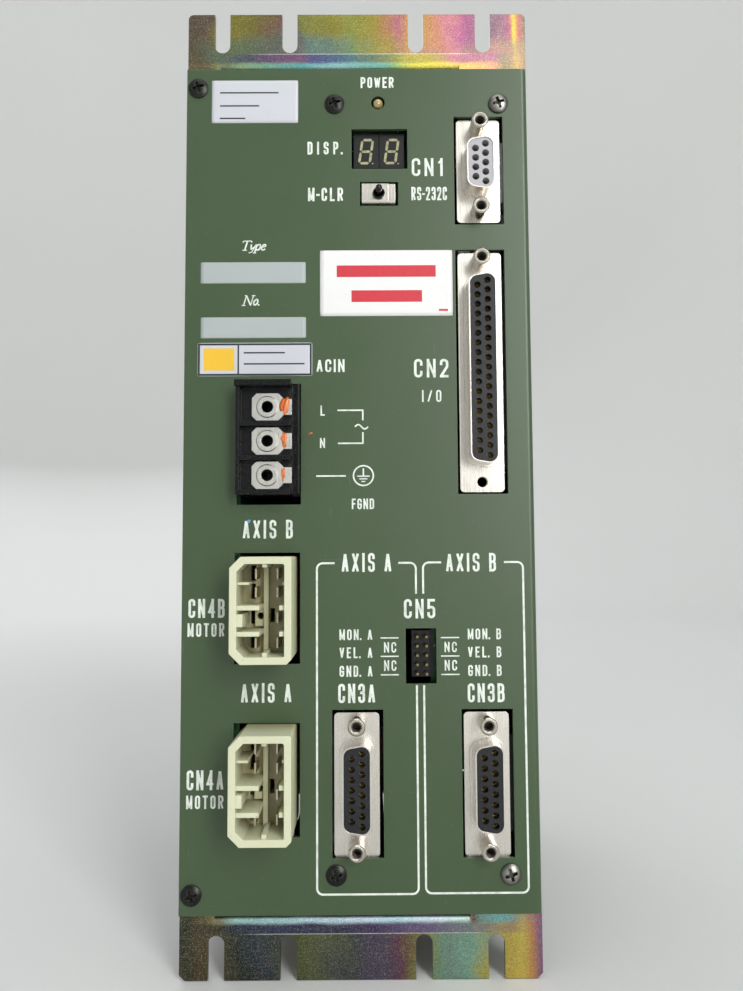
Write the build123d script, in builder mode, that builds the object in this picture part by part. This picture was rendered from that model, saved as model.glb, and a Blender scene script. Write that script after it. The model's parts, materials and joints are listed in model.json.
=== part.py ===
from build123d import *
import os

os.makedirs("parts", exist_ok=True)

# Two-axis servo driver unit, millimetres, +Z up, front faces -Y, +X to the right.
# Origin: centre of the mounting slot pattern, on the flanges' rear (bearing) plane.

# ---------------------------------------------------------------- driving dimensions
PANEL_W = 99.0        # front panel width
PANEL_H = 239.0       # front panel height
FLANGE = 17.5         # flange reach above and below the panel
T_CH = 1.6            # chassis sheet
T_CO = 1.2            # cover sheet
T_TAB = 1.5           # corner tabs, coined a little thinner so that only the flanges bear
DEPTH = 141.0         # from the panel's front to the back of the box
SLOT_W = 4.5          # flange slot width (M4)
SLOT_PITCH_Z = 255.0  # between the slots' inner ends, upper to lower flange
SLOT_XS = (10.0, 29.75, 66.75, 86.5)   # from the panel's left edge
BEND_X0, BEND_X1 = 9.6, 79.4           # width of the chassis' top, back and bottom
RECESS = 1.25         # connector flanges sit this far behind the panel's front
DSUB_PROUD = 5.9      # connector shell above its flange
JACK_PROUD = 6.0      # jack post above the connector flange
MOTOR_PROUD = 14.5    # motor housing above the panel
TERM_PROUD = 7.6      # terminal block above the panel
LEVER_TIP = 4.8       # toggle lever above the panel


# Positions below are read from the panel's lower left corner (x, z) and its front (y).
def X(x):
    return x - PANEL_W / 2


def Y(y):
    return y - (T_CO + T_CH)


def Z(z):
    return z - PANEL_H / 2


def front(y):
    """Sketch plane facing the front at depth y: local axes are X and Z, normal -Y."""
    return Plane.XZ.offset(-Y(y))


def side(x):
    """Sketch plane facing +X at x: local axes are Y and Z."""
    return Plane.YZ.offset(X(x))


def level(z):
    """Sketch plane facing up at z: local axes are X and Y."""
    return Plane.XY.offset(Z(z))


def block(x0, x1, y0, y1, z0, z1, mode=Mode.ADD):
    """A block between two corners, inside the current part."""
    with Locations((X((x0 + x1) / 2), Y((y0 + y1) / 2), Z((z0 + z1) / 2))):
        Box(x1 - x0, y1 - y0, z1 - z0, mode=mode)


def rect(x0, x1, z0, z1, mode=Mode.ADD):
    """A rectangle on a front sketch plane."""
    with Locations((X((x0 + x1) / 2), Z((z0 + z1) / 2))):
        Rectangle(x1 - x0, z1 - z0, mode=mode)


def save(part, label):
    part.label = label
    export_step(part, "parts/" + label + ".step")


# ---------------------------------------------------------------- feature positions
SERIAL_X, SERIAL_Z = 84.55, 208.75
IO_X, IO_Z = 84.5, 149.75
ENC_A_X, ENC_Z = 48.6, 34.35
ENC_B_X = 84.55
BOARD_A_X = 40.25      # component face of the axis A board
BOARD_B_X = 92.9       # component face of the axis B board
BOARD_P_X = 15.5       # component face of the power board
BOARD_C_X = 69.6       # component face of the processor board (faces left)
SCREW_A_X, SCREW_B_X = 42.9, 90.5
SCREW_TOP_Z, SCREW_BOT_Z = 228.4, 10.55
CORNER_X, CORNER_TOP_Z, CORNER_BOT_Z = 3.35, 233.2, 5.5
MOTOR_X, MOTOR_A_Z, MOTOR_B_Z = 23.75, 37.1, 83.3
TERM_X = 24.3
TERM_ZS = (138.6, 129.1, 119.6)
LED_X, LED_Z = 55.5, 228.8
DIGIT_XS, DIGIT_Z = (52.0, 59.45), 215.3
TOGGLE_X, TOGGLE_Z = 55.6, 201.65
MON_XS, MON_Z, MON_PITCH = (65.45, 68.0), 69.8, 2.54

# ---------------------------------------------------------------- chassis
top_under, top_over = PANEL_H + 0.3, PANEL_H + 0.3 + T_CH
bot_over, bot_under = -0.3, -0.3 - T_CH
y_fl0, y_fl1 = T_CO, T_CO + T_CH
y_back0, y_back1 = DEPTH - T_CH, DEPTH



def near(vertices, points):
    """The sketch corners that lie at the given local points."""
    return [v for v in vertices
            if any(abs(v.X - p[0]) < 1e-3 and abs(v.Y - p[1]) < 1e-3 for p in points)]


outer_bends = [(Y(y_fl0), Z(top_under)), (Y(y_fl0), Z(bot_over)),
               (Y(y_back1), Z(top_over)), (Y(y_back1), Z(bot_under))]
inner_bends = [(Y(y_fl1), Z(top_over)), (Y(y_fl1), Z(bot_under)),
               (Y(y_back0), Z(top_under)), (Y(y_back0), Z(bot_over))]
FLAT = 3.4   # the bends run out into the flat flange this far beyond the plates
ROOT = 0.9   # the flat flange starts this far beyond the plates

with BuildPart() as chassis:
    # one bent strip: upper flange root, top, back, bottom, lower flange root
    with BuildSketch(side(BEND_X0)) as strip:
        with BuildLine():
            Polyline(
                (Y(y_fl0), Z(top_over + FLAT)), outer_bends[0], inner_bends[2], inner_bends[3],
                outer_bends[1], (Y(y_fl0), Z(bot_under - FLAT)), (Y(y_fl1), Z(bot_under - FLAT)),
                inner_bends[1], outer_bends[3], outer_bends[2], inner_bends[0],
                (Y(y_fl1), Z(top_over + FLAT)), close=True)
        make_face()
        fillet(near(strip.vertices(), outer_bends), 2.4)
        fillet(near(strip.vertices(), inner_bends), 0.8)
    extrude(amount=BEND_X1 - BEND_X0)
    # flat flanges with their corner tabs, which lie behind the panel
    with BuildSketch(front(y_fl1)) as flanges:
        rect(0, PANEL_W, top_over + ROOT, PANEL_H + FLANGE)
        rect(0, PANEL_W, -FLANGE, bot_under - ROOT)
        fillet(near(flanges.vertices(), [(X(0), Z(PANEL_H + FLANGE)), (X(PANEL_W), Z(PANEL_H + FLANGE))]), 1.5)
        chamfer(near(flanges.vertices(), [(X(0), Z(-FLANGE)), (X(PANEL_W), Z(-FLANGE))]), 1.5)
        # open slots for the fixing screws
        for sx in SLOT_XS:
            for end, edge in ((SLOT_PITCH_Z / 2, Z(PANEL_H + FLANGE) + 1), (-SLOT_PITCH_Z / 2, Z(-FLANGE) - 1)):
                with Locations((X(sx), end)):
                    Circle(SLOT_W / 2, mode=Mode.SUBTRACT)
                with Locations((X(sx), (end + edge) / 2)):
                    Rectangle(SLOT_W, abs(edge - end), mode=Mode.SUBTRACT)
    extrude(amount=T_CH)
    with BuildSketch(front(y_fl0 + T_TAB)):
        rect(0, BEND_X0 - 0.5, 224, top_under)
        rect(0, BEND_X0, top_under, top_over + ROOT)
        rect(BEND_X1 + 0.5, PANEL_W - 1.7, 225.2, top_under)
        rect(BEND_X1, PANEL_W, top_under, top_over + ROOT)
        rect(0, BEND_X0 - 0.5, bot_over, 15)
        rect(0, BEND_X0, bot_under - ROOT, bot_over)
        rect(BEND_X1 + 0.5, PANEL_W - 1.7, bot_over, 13.9)
        rect(BEND_X1, PANEL_W, bot_under - ROOT, bot_over)
    extrude(amount=T_TAB)
    # lips turned in along the left edges carry the heat sink
    block(8.0, 9.6, 20, 132, 228.5, top_under + 0.8)
    block(8.0, 9.6, 20, 132, bot_over - 0.8, 10.5)
    # clearance holes: cover corner screws, right bracket screws
    with BuildSketch(front(y_fl1)):
        with Locations((X(CORNER_X), Z(CORNER_TOP_Z)), (X(CORNER_X), Z(CORNER_BOT_Z))):
            Circle(1.5)
        with Locations((X(SCREW_B_X), Z(SCREW_TOP_Z)), (X(SCREW_B_X), Z(SCREW_BOT_Z))):
            Circle(1.7)
    extrude(amount=T_CH, mode=Mode.SUBTRACT)
    # air slots in the top and the bottom
    for zz in (bot_under - 1, top_under - 1):
        with BuildSketch(level(zz)):
            with Locations((X(45), Y(74))):
                with GridLocations(7.0, 48.0, 7, 2):
                    SlotOverall(38, 3.2, rotation=90)
        extrude(amount=T_CH + 2, mode=Mode.SUBTRACT)
    # holes for the cover screws, heat sink screws and backplane standoffs
    with BuildSketch(level(bot_under - 1)):
        with Locations((X(75.5), Y(20)), (X(75.5), Y(124))):
            Circle(1.7)
    extrude(amount=PANEL_H + 8, mode=Mode.SUBTRACT)
    with BuildSketch(side(7)):
        for zz in (4.2, 234.8):
            with Locations((Y(32), Z(zz)), (Y(120), Z(zz))):
                Circle(1.7)
    extrude(amount=4, mode=Mode.SUBTRACT)
    with BuildSketch(front(y_back1)):
        with Locations((X(22), Z(34)), (X(72), Z(34)), (X(22), Z(205)), (X(72), Z(205))):
            Circle(1.7)
    extrude(amount=T_CH, mode=Mode.SUBTRACT)
save(chassis.part, "chassis")

# ---------------------------------------------------------------- front cover
DISPLAY_CUT = (47.75, 63.95, 209.0, 220.9)
TOGGLE_CUT = (50.1, 61.2, 198.0, 205.1)
SERIAL_CUT = (77.45, 91.65, 192.4, 224.5)
IO_CUT = (77.45, 91.55, 114.55, 184.9)
ENC_A_CUT = (41.8, 55.95, 14.9, 54.9)
ENC_B_CUT = (77.6, 91.75, 14.9, 54.9)
MON_CUT = (62.3, 70.8, 61.9, 77.1)
TERM_CUT = (15.1, 33.15, 111.8, 146.1)
MOTOR_A_CUT = (14.6, 32.95, 20.7, 51.45)
MOTOR_B_CUT = (14.6, 32.95, 67.5, 98.3)

with BuildPart() as front_cover:
    # front and right side: one sheet with a small bend at the right edge
    with BuildSketch(level(0)) as angle:
        with BuildLine():
            Polyline((X(0), Y(0)), (X(PANEL_W), Y(0)), (X(PANEL_W), Y(DEPTH)),
                     (X(PANEL_W - T_CO), Y(DEPTH)), (X(PANEL_W - T_CO), Y(T_CO)), (X(0), Y(T_CO)), close=True)
        make_face()
        fillet(near(angle.vertices(), [(X(PANEL_W), Y(0))]), 1.6)
        fillet(near(angle.vertices(), [(X(PANEL_W - T_CO), Y(T_CO))]), 0.4)
    extrude(amount=PANEL_H)
    # folded returns of the side: top, bottom, back
    block(70, PANEL_W - T_CO / 2, 6, DEPTH - 2.4, PANEL_H - T_CO, PANEL_H)
    block(70, PANEL_W - T_CO / 2, 6, DEPTH - 2.4, 0, T_CO)
    block(80.2, PANEL_W - T_CO / 2, DEPTH - T_CO, DEPTH, 1.5, PANEL_H - 1.5)
    # openings for everything that comes through the front
    with BuildSketch(front(T_CO)):
        for cut in (DISPLAY_CUT, TOGGLE_CUT, SERIAL_CUT, IO_CUT, ENC_A_CUT, ENC_B_CUT, MON_CUT,
                    TERM_CUT, MOTOR_A_CUT, MOTOR_B_CUT):
            rect(*cut)
        with Locations((X(LED_X), Z(LED_Z))):
            Circle(2.0)
        with Locations((X(CORNER_X), Z(CORNER_TOP_Z)), (X(CORNER_X), Z(CORNER_BOT_Z)),
                       (X(SCREW_A_X), Z(SCREW_TOP_Z)), (X(SCREW_A_X), Z(SCREW_BOT_Z)),
                       (X(SCREW_B_X), Z(SCREW_TOP_Z)), (X(SCREW_B_X), Z(SCREW_BOT_Z))):
            Circle(1.6)
    extrude(amount=T_CO, mode=Mode.SUBTRACT)
    # air slots in the side
    with BuildSketch(side(PANEL_W - T_CO - 1)):
        with Locations((Y(74), Z(205)), (Y(74), Z(34))):
            with GridLocations(8.0, 0, 12, 1):
                SlotOverall(34, 3.2, rotation=90)
    extrude(amount=T_CO + 2, mode=Mode.SUBTRACT)
    # threaded holes for the four cover screws
    with BuildSketch(level(-1)):
        with Locations((X(75.5), Y(20)), (X(75.5), Y(124))):
            Circle(1.25)
    extrude(amount=PANEL_H + 2, mode=Mode.SUBTRACT)
save(front_cover.part, "front_cover")

# ---------------------------------------------------------------- heat sink
FIN_PITCH, FIN_T = 7.6, 1.7
with BuildPart() as heat_sink:
    block(4.8, 8.0, 4.2, DEPTH, 0.4, PANEL_H - 0.4)
    with BuildSketch(level(0.4)):
        with Locations((X(2.6), Y((4.2 + DEPTH) / 2))):
            with GridLocations(0, FIN_PITCH, 1, 18):
                Rectangle(4.8, FIN_T)
    extrude(amount=PANEL_H - 0.8)
    with BuildSketch(side(8.0)):
        for zz in (4.2, 234.8):
            with Locations((Y(32), Z(zz)), (Y(120), Z(zz))):
                Circle(1.25)
    extrude(amount=-4, mode=Mode.SUBTRACT)
save(heat_sink.part, "heat_sink")

# ---------------------------------------------------------------- screws


def pan_screws(places, head_r, head_h, shank_r, length, base_y):
    """Pan-head screws in the front panel; places are (x, z)."""
    with BuildPart() as screws:
        for sx, sz in places:
            with BuildSketch(side(sx)):
                with BuildLine():
                    # half profile about the screw axis, in (Y, Z)
                    l1 = Line((Y(base_y + length), Z(sz)), (Y(base_y + length), Z(sz) + shank_r))
                    l2 = Line(l1 @ 1, (Y(base_y), Z(sz) + shank_r))
                    l3 = Line(l2 @ 1, (Y(base_y), Z(sz) + head_r))
                    l4 = Line(l3 @ 1, (Y(base_y - 0.40 * head_h), Z(sz) + head_r))
                    l5 = ThreePointArc(l4 @ 1, (Y(base_y - 0.86 * head_h), Z(sz) + 0.60 * head_r),
                                       (Y(base_y - head_h), Z(sz)))
                    Line(l5 @ 1, l1 @ 0)
                make_face()
            revolve(axis=Axis((X(sx), 0, Z(sz)), (0, 1, 0)))
            # cross recess
            with BuildSketch(front(base_y - head_h - 0.1)):
                with Locations(Location((X(sx), Z(sz)), 18)):
                    Rectangle(1.22 * head_r, 0.30 * head_r)
                    Rectangle(0.30 * head_r, 1.22 * head_r)
                    Rectangle(0.56 * head_r, 0.56 * head_r, rotation=45)
            extrude(amount=-1.5, mode=Mode.SUBTRACT)
    return screws.part


save(pan_screws([(CORNER_X, CORNER_TOP_Z), (CORNER_X, CORNER_BOT_Z)], 2.85, 1.15, 1.45, 6.0, 0.0), "corner_screws")
save(pan_screws([(SCREW_A_X, SCREW_TOP_Z), (SCREW_A_X, SCREW_BOT_Z),
                 (SCREW_B_X, SCREW_TOP_Z), (SCREW_B_X, SCREW_BOT_Z)], 2.85, 1.15, 1.45, 8.0, 0.0), "bracket_screws")

with BuildPart() as cover_screws:
    # pan heads on the chassis' top and bottom, into the cover's folded returns
    for zz, out in ((top_over, 1), (bot_under, -1)):
        with BuildSketch(level(zz)):
            with Locations((X(75.5), Y(20)), (X(75.5), Y(124))):
                Circle(2.8)
        extrude(amount=out * 1.8)
        with BuildSketch(level(zz)):
            with Locations((X(75.5), Y(20)), (X(75.5), Y(124))):
                Circle(1.2)
        extrude(amount=-out * 4.5)
        with BuildSketch(level(zz + out * 1.8)):
            with Locations(Location((X(75.5), Y(20)), 20), Location((X(75.5), Y(124)), 20)):
                Rectangle(3.2, 0.8)
                Rectangle(0.8, 3.2)
        extrude(amount=-out * 1.2, mode=Mode.SUBTRACT)
save(cover_screws.part, "cover_screws")

with BuildPart() as heat_sink_screws:
    places = [(Y(32), Z(4.2)), (Y(120), Z(4.2)), (Y(32), Z(234.8)), (Y(120), Z(234.8))]
    with BuildSketch(side(9.6)):
        with Locations(*places):
            Circle(2.6)
    extrude(amount=1.7)
    with BuildSketch(side(9.6)):
        with Locations(*places):
            Circle(1.2)
    extrude(amount=-4.6)
    with BuildSketch(side(11.3)):
        with Locations(*places):
            Rectangle(3.0, 0.8)
            Rectangle(0.8, 3.0)
    extrude(amount=-1.1, mode=Mode.SUBTRACT)
save(heat_sink_screws.part, "heat_sink_screws")

# ---------------------------------------------------------------- boards
BOARD_T = 1.6
BOARD_Y0, BOARD_Y1, BOARD_Z0, BOARD_Z1 = 9.0, 127.0, 13.0, 226.0
BACK_Y0 = 133.0

with BuildPart() as power_board:
    block(BOARD_P_X - BOARD_T, BOARD_P_X, 4.5, BOARD_Y1, BOARD_Z0, BOARD_Z1)
    with BuildSketch(side(BOARD_P_X)):
        with Locations((Y(9), Z(18)), (Y(122), Z(18)), (Y(9), Z(221)), (Y(122), Z(221))):
            Circle(1.6)
    extrude(amount=-BOARD_T, mode=Mode.SUBTRACT)
save(power_board.part, "power_board")

with BuildPart() as axis_a_board:
    block(BOARD_A_X - BOARD_T, BOARD_A_X, 3.2, BOARD_Y1, 5.5, 233.4)
    with BuildSketch(side(BOARD_A_X)):
        with Locations((Y(7.5), Z(SCREW_BOT_Z)), (Y(7.5), Z(SCREW_TOP_Z))):
            Circle(1.6)
    extrude(amount=-BOARD_T, mode=Mode.SUBTRACT)
save(axis_a_board.part, "axis_a_board")

with BuildPart() as axis_b_board:
    block(BOARD_B_X, BOARD_B_X + BOARD_T, 3.2, BOARD_Y1, 5.5, 233.4)
    with BuildSketch(side(BOARD_B_X)):
        with Locations((Y(7.5), Z(SCREW_BOT_Z)), (Y(7.5), Z(SCREW_TOP_Z))):
            Circle(1.6)
    extrude(amount=BOARD_T, mode=Mode.SUBTRACT)
save(axis_b_board.part, "axis_b_board")

with BuildPart() as processor_board:
    block(BOARD_C_X, BOARD_C_X + BOARD_T, 5.5, BOARD_Y1, 20, 226)
save(processor_board.part, "processor_board")

with BuildPart() as display_board:
    block(46.4, 67.5, 10.0, 11.6, 194.5, 232.5)
save(display_board.part, "display_board")

with BuildPart() as backplane_board:
    block(12.0, 96.5, BACK_Y0, BACK_Y0 + BOARD_T, 22, 217)
    with BuildSketch(front(BACK_Y0 + BOARD_T)):
        with Locations((X(22), Z(34)), (X(72), Z(34)), (X(22), Z(205)), (X(72), Z(205))):
            Circle(1.6)
    extrude(amount=BOARD_T, mode=Mode.SUBTRACT)
save(backplane_board.part, "backplane_board")

with BuildPart() as backplane_sockets:
    # one socket for each board, on its component side, with a plug slot for the board's edge
    for x0, x1 in ((BOARD_P_X - 3.4, BOARD_P_X + 3.0), (BOARD_A_X - 4.0, BOARD_A_X + 2.4),
                   (BOARD_C_X - 2.4, BOARD_C_X + 4.0), (BOARD_B_X - 2.4, BOARD_B_X + 3.6)):
        for z0, z1 in ((50, 110), (130, 190)):
            block(x0, x1, BOARD_Y1 - 4.0, BACK_Y0, z0, z1)
    for xb in (BOARD_P_X - BOARD_T, BOARD_A_X - BOARD_T, BOARD_C_X, BOARD_B_X):
        for z0, z1 in ((51.5, 108.5), (131.5, 188.5)):
            block(xb - 0.1, xb + BOARD_T + 0.1, BOARD_Y1 - 4.0, BOARD_Y1 + 0.1, z0 - 1.6, z1 + 1.6, mode=Mode.SUBTRACT)
save(backplane_sockets.part, "backplane_sockets")

with BuildPart() as backplane_standoffs:
    spots = [(X(22), Z(34)), (X(72), Z(34)), (X(22), Z(205)), (X(72), Z(205))]
    with BuildSketch(front(BACK_Y0 + BOARD_T)):
        with Locations(*spots):
            RegularPolygon(3.0, 6)
    extrude(amount=-(y_back0 - BACK_Y0 - BOARD_T))
    with BuildSketch(front(BACK_Y0 + BOARD_T)):
        with Locations(*spots):
            Circle(1.25)
    extrude(amount=-(y_back0 - BACK_Y0 - BOARD_T), mode=Mode.SUBTRACT)
save(backplane_standoffs.part, "backplane_standoffs")

with BuildPart() as board_brackets:
    # square nut blocks that join the axis boards to the front
    for zz in (SCREW_BOT_Z, SCREW_TOP_Z):
        block(BOARD_A_X, BOARD_A_X + 5.4, T_CO, 11.0, zz - 3.2, zz + 3.2)
        block(BOARD_B_X - 5.2, BOARD_B_X, y_fl0 + T_TAB, 11.0, zz - 3.2, zz + 3.2)
    with BuildSketch(front(T_CO)):
        with Locations((X(SCREW_A_X), Z(SCREW_TOP_Z)), (X(SCREW_A_X), Z(SCREW_BOT_Z)),
                       (X(SCREW_B_X), Z(SCREW_TOP_Z)), (X(SCREW_B_X), Z(SCREW_BOT_Z))):
            Circle(1.5)
    extrude(amount=-9.8, mode=Mode.SUBTRACT)
    with BuildSketch(side(BOARD_A_X)):
        with Locations((Y(7.5), Z(SCREW_BOT_Z)), (Y(7.5), Z(SCREW_TOP_Z))):
            Circle(1.2)
    extrude(amount=5.4, mode=Mode.SUBTRACT)
    with BuildSketch(side(BOARD_B_X)):
        with Locations((Y(7.5), Z(SCREW_BOT_Z)), (Y(7.5), Z(SCREW_TOP_Z))):
            Circle(1.2)
    extrude(amount=-5.2, mode=Mode.SUBTRACT)
save(board_brackets.part, "board_brackets")

with BuildPart() as power_standoffs:
    spots = [(Y(9), Z(18)), (Y(122), Z(18)), (Y(9), Z(221)), (Y(122), Z(221))]
    with BuildSketch(side(8.0)):
        with Locations(*spots):
            RegularPolygon(2.9, 6)
    extrude(amount=BOARD_P_X - BOARD_T - 8.0)
    with BuildSketch(side(8.0)):
        with Locations(*spots):
            Circle(1.25)
    extrude(amount=BOARD_P_X - BOARD_T - 8.0, mode=Mode.SUBTRACT)
save(power_standoffs.part, "power_standoffs")

with BuildPart() as board_screws:
    # power board, into the standoffs on the heat sink
    with BuildSketch(side(BOARD_P_X)):
        with Locations(*spots):
            Circle(2.5)
    extrude(amount=1.7)
    with BuildSketch(side(BOARD_P_X)):
        with Locations(*spots):
            Circle(1.2)
    extrude(amount=-5.0)
    with BuildSketch(side(BOARD_P_X + 1.7)):
        with Locations(*spots):
            Rectangle(3.0, 0.8)
            Rectangle(0.8, 3.0)
    extrude(amount=-1.1, mode=Mode.SUBTRACT)
    # backplane: inner heads on the board, outer heads on the chassis' back
    corners = [(X(22), Z(34)), (X(72), Z(34)), (X(22), Z(205)), (X(72), Z(205))]
    for head_y, out in ((BACK_Y0, 1), (y_back1, -1)):
        with BuildSketch(front(head_y)):
            with Locations(*corners):
                Circle(2.5)
        extrude(amount=out * 1.7)
        with BuildSketch(front(head_y)):
            with Locations(*corners):
                Circle(1.2)
        extrude(amount=-out * 3.8)
        with BuildSketch(front(head_y - out * 1.7)):
            with Locations(*corners):
                Rectangle(3.0, 0.8)
                Rectangle(0.8, 3.0)
        extrude(amount=-out * 1.1, mode=Mode.SUBTRACT)
save(board_screws.part, "board_screws")

# ---------------------------------------------------------------- D-sub connectors
FL_W, FL_T, D_H, SHELL_T = 12.55, 1.0, 7.9, 0.4
ROW, PIN = 1.42, 2.76


def d_outline(xc, zc, length, inset=0.0):
    """The D shape on a front plane: the long side faces +X."""
    h, l = D_H / 2 - inset, length / 2 - inset
    slant = 0.176 * 2 * h
    with BuildSketch(front(RECESS + FL_T)) as sk:
        with BuildLine():
            Polyline((X(xc) + h, Z(zc) + l), (X(xc) - h, Z(zc) + l - slant),
                     (X(xc) - h, Z(zc) - l + slant), (X(xc) + h, Z(zc) - l), close=True)
        make_face()
        fillet(sk.vertices(), 2.6 - inset)
    return sk.sketch


def contact_rows(zc, many, few):
    """Heights of the contacts: the full row on the right, the other on the left."""
    right = [zc + (i - (many - 1) / 2) * PIN for i in range(many)]
    left = [zc + (i - (few - 1) / 2) * PIN for i in range(few)]
    return right, left


def dsub(name, xc, zc, length, flange, holes, many, few, board_x):
    """Shell, insulator and socket contacts of a right-angle D-sub socket."""
    right, left = contact_rows(zc, many, few)
    hole_r = 1.0 if many == 5 else 0.92
    spots = [(X(xc + ROW), Z(z)) for z in right] + [(X(xc - ROW), Z(z)) for z in left]
    away = 1 if board_x < xc else -1
    with BuildPart() as shell:
        with BuildSketch(front(RECESS + FL_T)) as plate:
            with Locations((X(xc), Z(zc))):
                RectangleRounded(FL_W, flange, 1.2)
        extrude(amount=FL_T)
        # drawn shell with a soft root
        extrude(d_outline(xc, zc, length, -0.8), amount=FL_T + 0.9)
        extrude(d_outline(xc, zc, length), amount=FL_T + DSUB_PROUD)
        extrude(d_outline(xc, zc, length, SHELL_T), amount=FL_T + DSUB_PROUD, mode=Mode.SUBTRACT)
        with BuildSketch(front(RECESS + FL_T)):
            with Locations((X(xc), Z(zc + holes / 2)), (X(xc), Z(zc - holes / 2))):
                Circle(1.5)
        extrude(amount=FL_T, mode=Mode.SUBTRACT)
    save(shell.part, name + "_shell")

    with BuildPart() as insulator:
        extrude(d_outline(xc, zc, length, SHELL_T), amount=FL_T + DSUB_PROUD - 0.25)
        # body behind the flange, down to the board
        x0, x1 = sorted((board_x, xc + away * 5.0))
        block(x0, x1, RECESS + FL_T, RECESS + FL_T + 8.5, zc - length / 2 - 0.8, zc + length / 2 + 0.8)
        with BuildSketch(front(RECESS + 0.2)):
            with Locations(*spots):
                Circle(hole_r)
        extrude(amount=DSUB_PROUD + 1, mode=Mode.SUBTRACT)
    save(insulator.part, name + "_insulator")

    with BuildPart() as contacts:
        with BuildSketch(front(RECESS + 0.2)):
            with Locations(*spots):
                Circle(hole_r - 0.06)
        extrude(amount=DSUB_PROUD - 2.3)
        with BuildSketch(front(RECESS - 1.2)):
            with Locations(*spots):
                Circle(hole_r - 0.34)
        extrude(amount=DSUB_PROUD, mode=Mode.SUBTRACT)
    save(contacts.part, name + "_contacts")


dsub("serial_connector", SERIAL_X, SERIAL_Z, 16.33, 30.81, 24.99, 5, 4, BOARD_B_X)
dsub("io_connector", IO_X, IO_Z, 54.84, 69.32, 63.50, 19, 18, BOARD_B_X)
dsub("encoder_a_connector", ENC_A_X, ENC_Z, 24.66, 39.14, 33.32, 8, 7, BOARD_A_X)
dsub("encoder_b_connector", ENC_B_X, ENC_Z, 24.66, 39.14, 33.32, 8, 7, BOARD_B_X)

# round jack posts with a threaded end; the lower one of the I/O connector is not fitted
JACKS = [(SERIAL_X, SERIAL_Z + 12.495), (SERIAL_X, SERIAL_Z - 12.495), (IO_X, IO_Z + 31.75),
         (ENC_A_X, ENC_Z + 16.66), (ENC_A_X, ENC_Z - 16.66), (ENC_B_X, ENC_Z + 16.66), (ENC_B_X, ENC_Z - 16.66)]
with BuildPart() as jack_posts:
    with BuildSketch(front(RECESS)):
        with Locations(*[(X(a), Z(b)) for a, b in JACKS]):
            Circle(2.4)
    extrude(amount=JACK_PROUD)
    with BuildSketch(front(RECESS)):
        with Locations(*[(X(a), Z(b)) for a, b in JACKS]):
            Circle(1.4)
    extrude(amount=-6.5)
    with BuildSketch(front(RECESS - JACK_PROUD)):
        with Locations(*[(X(a), Z(b)) for a, b in JACKS]):
            Circle(1.25)
    extrude(amount=-4.5, mode=Mode.SUBTRACT)
    mouths = jack_posts.edges().filter_by(GeomType.CIRCLE).group_by(Axis.Y)[0]
    chamfer(mouths, 0.35)
save(jack_posts.part, "jack_posts")

with BuildPart() as jack_nuts:
    # hexagon nuts that hold the posts behind the connector flanges
    with BuildSketch(front(RECESS + FL_T)):
        with Locations(*[(X(a), Z(b)) for a, b in JACKS + [(IO_X, IO_Z - 31.75)]]):
            RegularPolygon(2.75, 6)
    extrude(amount=-2.4)
    with BuildSketch(front(RECESS + FL_T)):
        with Locations(*[(X(a), Z(b)) for a, b in JACKS + [(IO_X, IO_Z - 31.75)]]):
            Circle(1.4)
    extrude(amount=-2.4, mode=Mode.SUBTRACT)
save(jack_nuts.part, "jack_nuts")

# ---------------------------------------------------------------- terminal block
TB_X0, TB_X1 = 15.7, 30.8
TB_Z0, TB_Z1 = 114.2, 145.9
PITCH_T = TERM_ZS[0] - TERM_ZS[1]
with BuildPart() as terminal_block:
    block(BOARD_P_X, 33.0, 1.6, 16.0, TB_Z0, TB_Z1)
    block(TB_X0, TB_X1, -TERM_PROUD + 1.2, 1.6, TB_Z0, TB_Z1)
    block(TB_X1, 32.9, -1.2, 1.6, TB_Z0 + 0.4, TB_Z1 - 0.4)
    block(32.2, 32.9, -3.0, 1.6, TB_Z0 + 0.4, TB_Z1 - 0.4)
    # top lip
    block(TB_X0 - 0.3, TB_X1 + 0.2, -TERM_PROUD, -TERM_PROUD + 1.4, TB_Z1 - 1.6, TB_Z1)
    # wells: one for each plate, open to the front and to the right
    for zz in TERM_ZS:
        block(TB_X0 + 1.0, TB_X1 + 3, -TERM_PROUD - 1, -3.6, zz - PITCH_T / 2 + 0.65, zz + PITCH_T / 2 - 0.65,
              mode=Mode.SUBTRACT)
        # screw clearance under the plate
        with BuildSketch(front(-3.6)):
            with Locations((X(TERM_X), Z(zz))):
                Circle(1.9)
        extrude(amount=-9, mode=Mode.SUBTRACT)
    # strip cleared above the first well and below the last
    block(TB_X0 + 1.0, TB_X1 + 3, -TERM_PROUD - 1, -3.6, TERM_ZS[0] + PITCH_T / 2 - 0.7, TB_Z1 - 1.7, mode=Mode.SUBTRACT)
save(terminal_block.part, "terminal_block")

with BuildPart() as terminal_plates:
    # clamp plates with clipped corners and an extruded threaded collar
    for zz in TERM_ZS:
        with BuildSketch(front(-3.6)) as plate:
            with Locations((X(TERM_X), Z(zz))):
                Rectangle(8.6, 7.6)
            chamfer(plate.vertices(), 1.3)
        extrude(amount=1.6)
        with BuildSketch(front(-3.6)):
            with Locations((X(TERM_X + 5.4), Z(zz))):
                Rectangle(2.6, 4.4)
        extrude(amount=1.6)
    with BuildSketch(front(-5.2)):
        with Locations(*[(X(TERM_X), Z(zz)) for zz in TERM_ZS]):
            Circle(3.05)
    extrude(amount=0.35)
    chamfer(terminal_plates.edges().filter_by(GeomType.CIRCLE).group_by(Axis.Y)[0], 0.25)
    with BuildSketch(front(-5.6)):
        with Locations(*[(X(TERM_X), Z(zz)) for zz in TERM_ZS]):
            Circle(1.65)
    extrude(amount=-3, mode=Mode.SUBTRACT)
save(terminal_plates.part, "terminal_plates")

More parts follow.
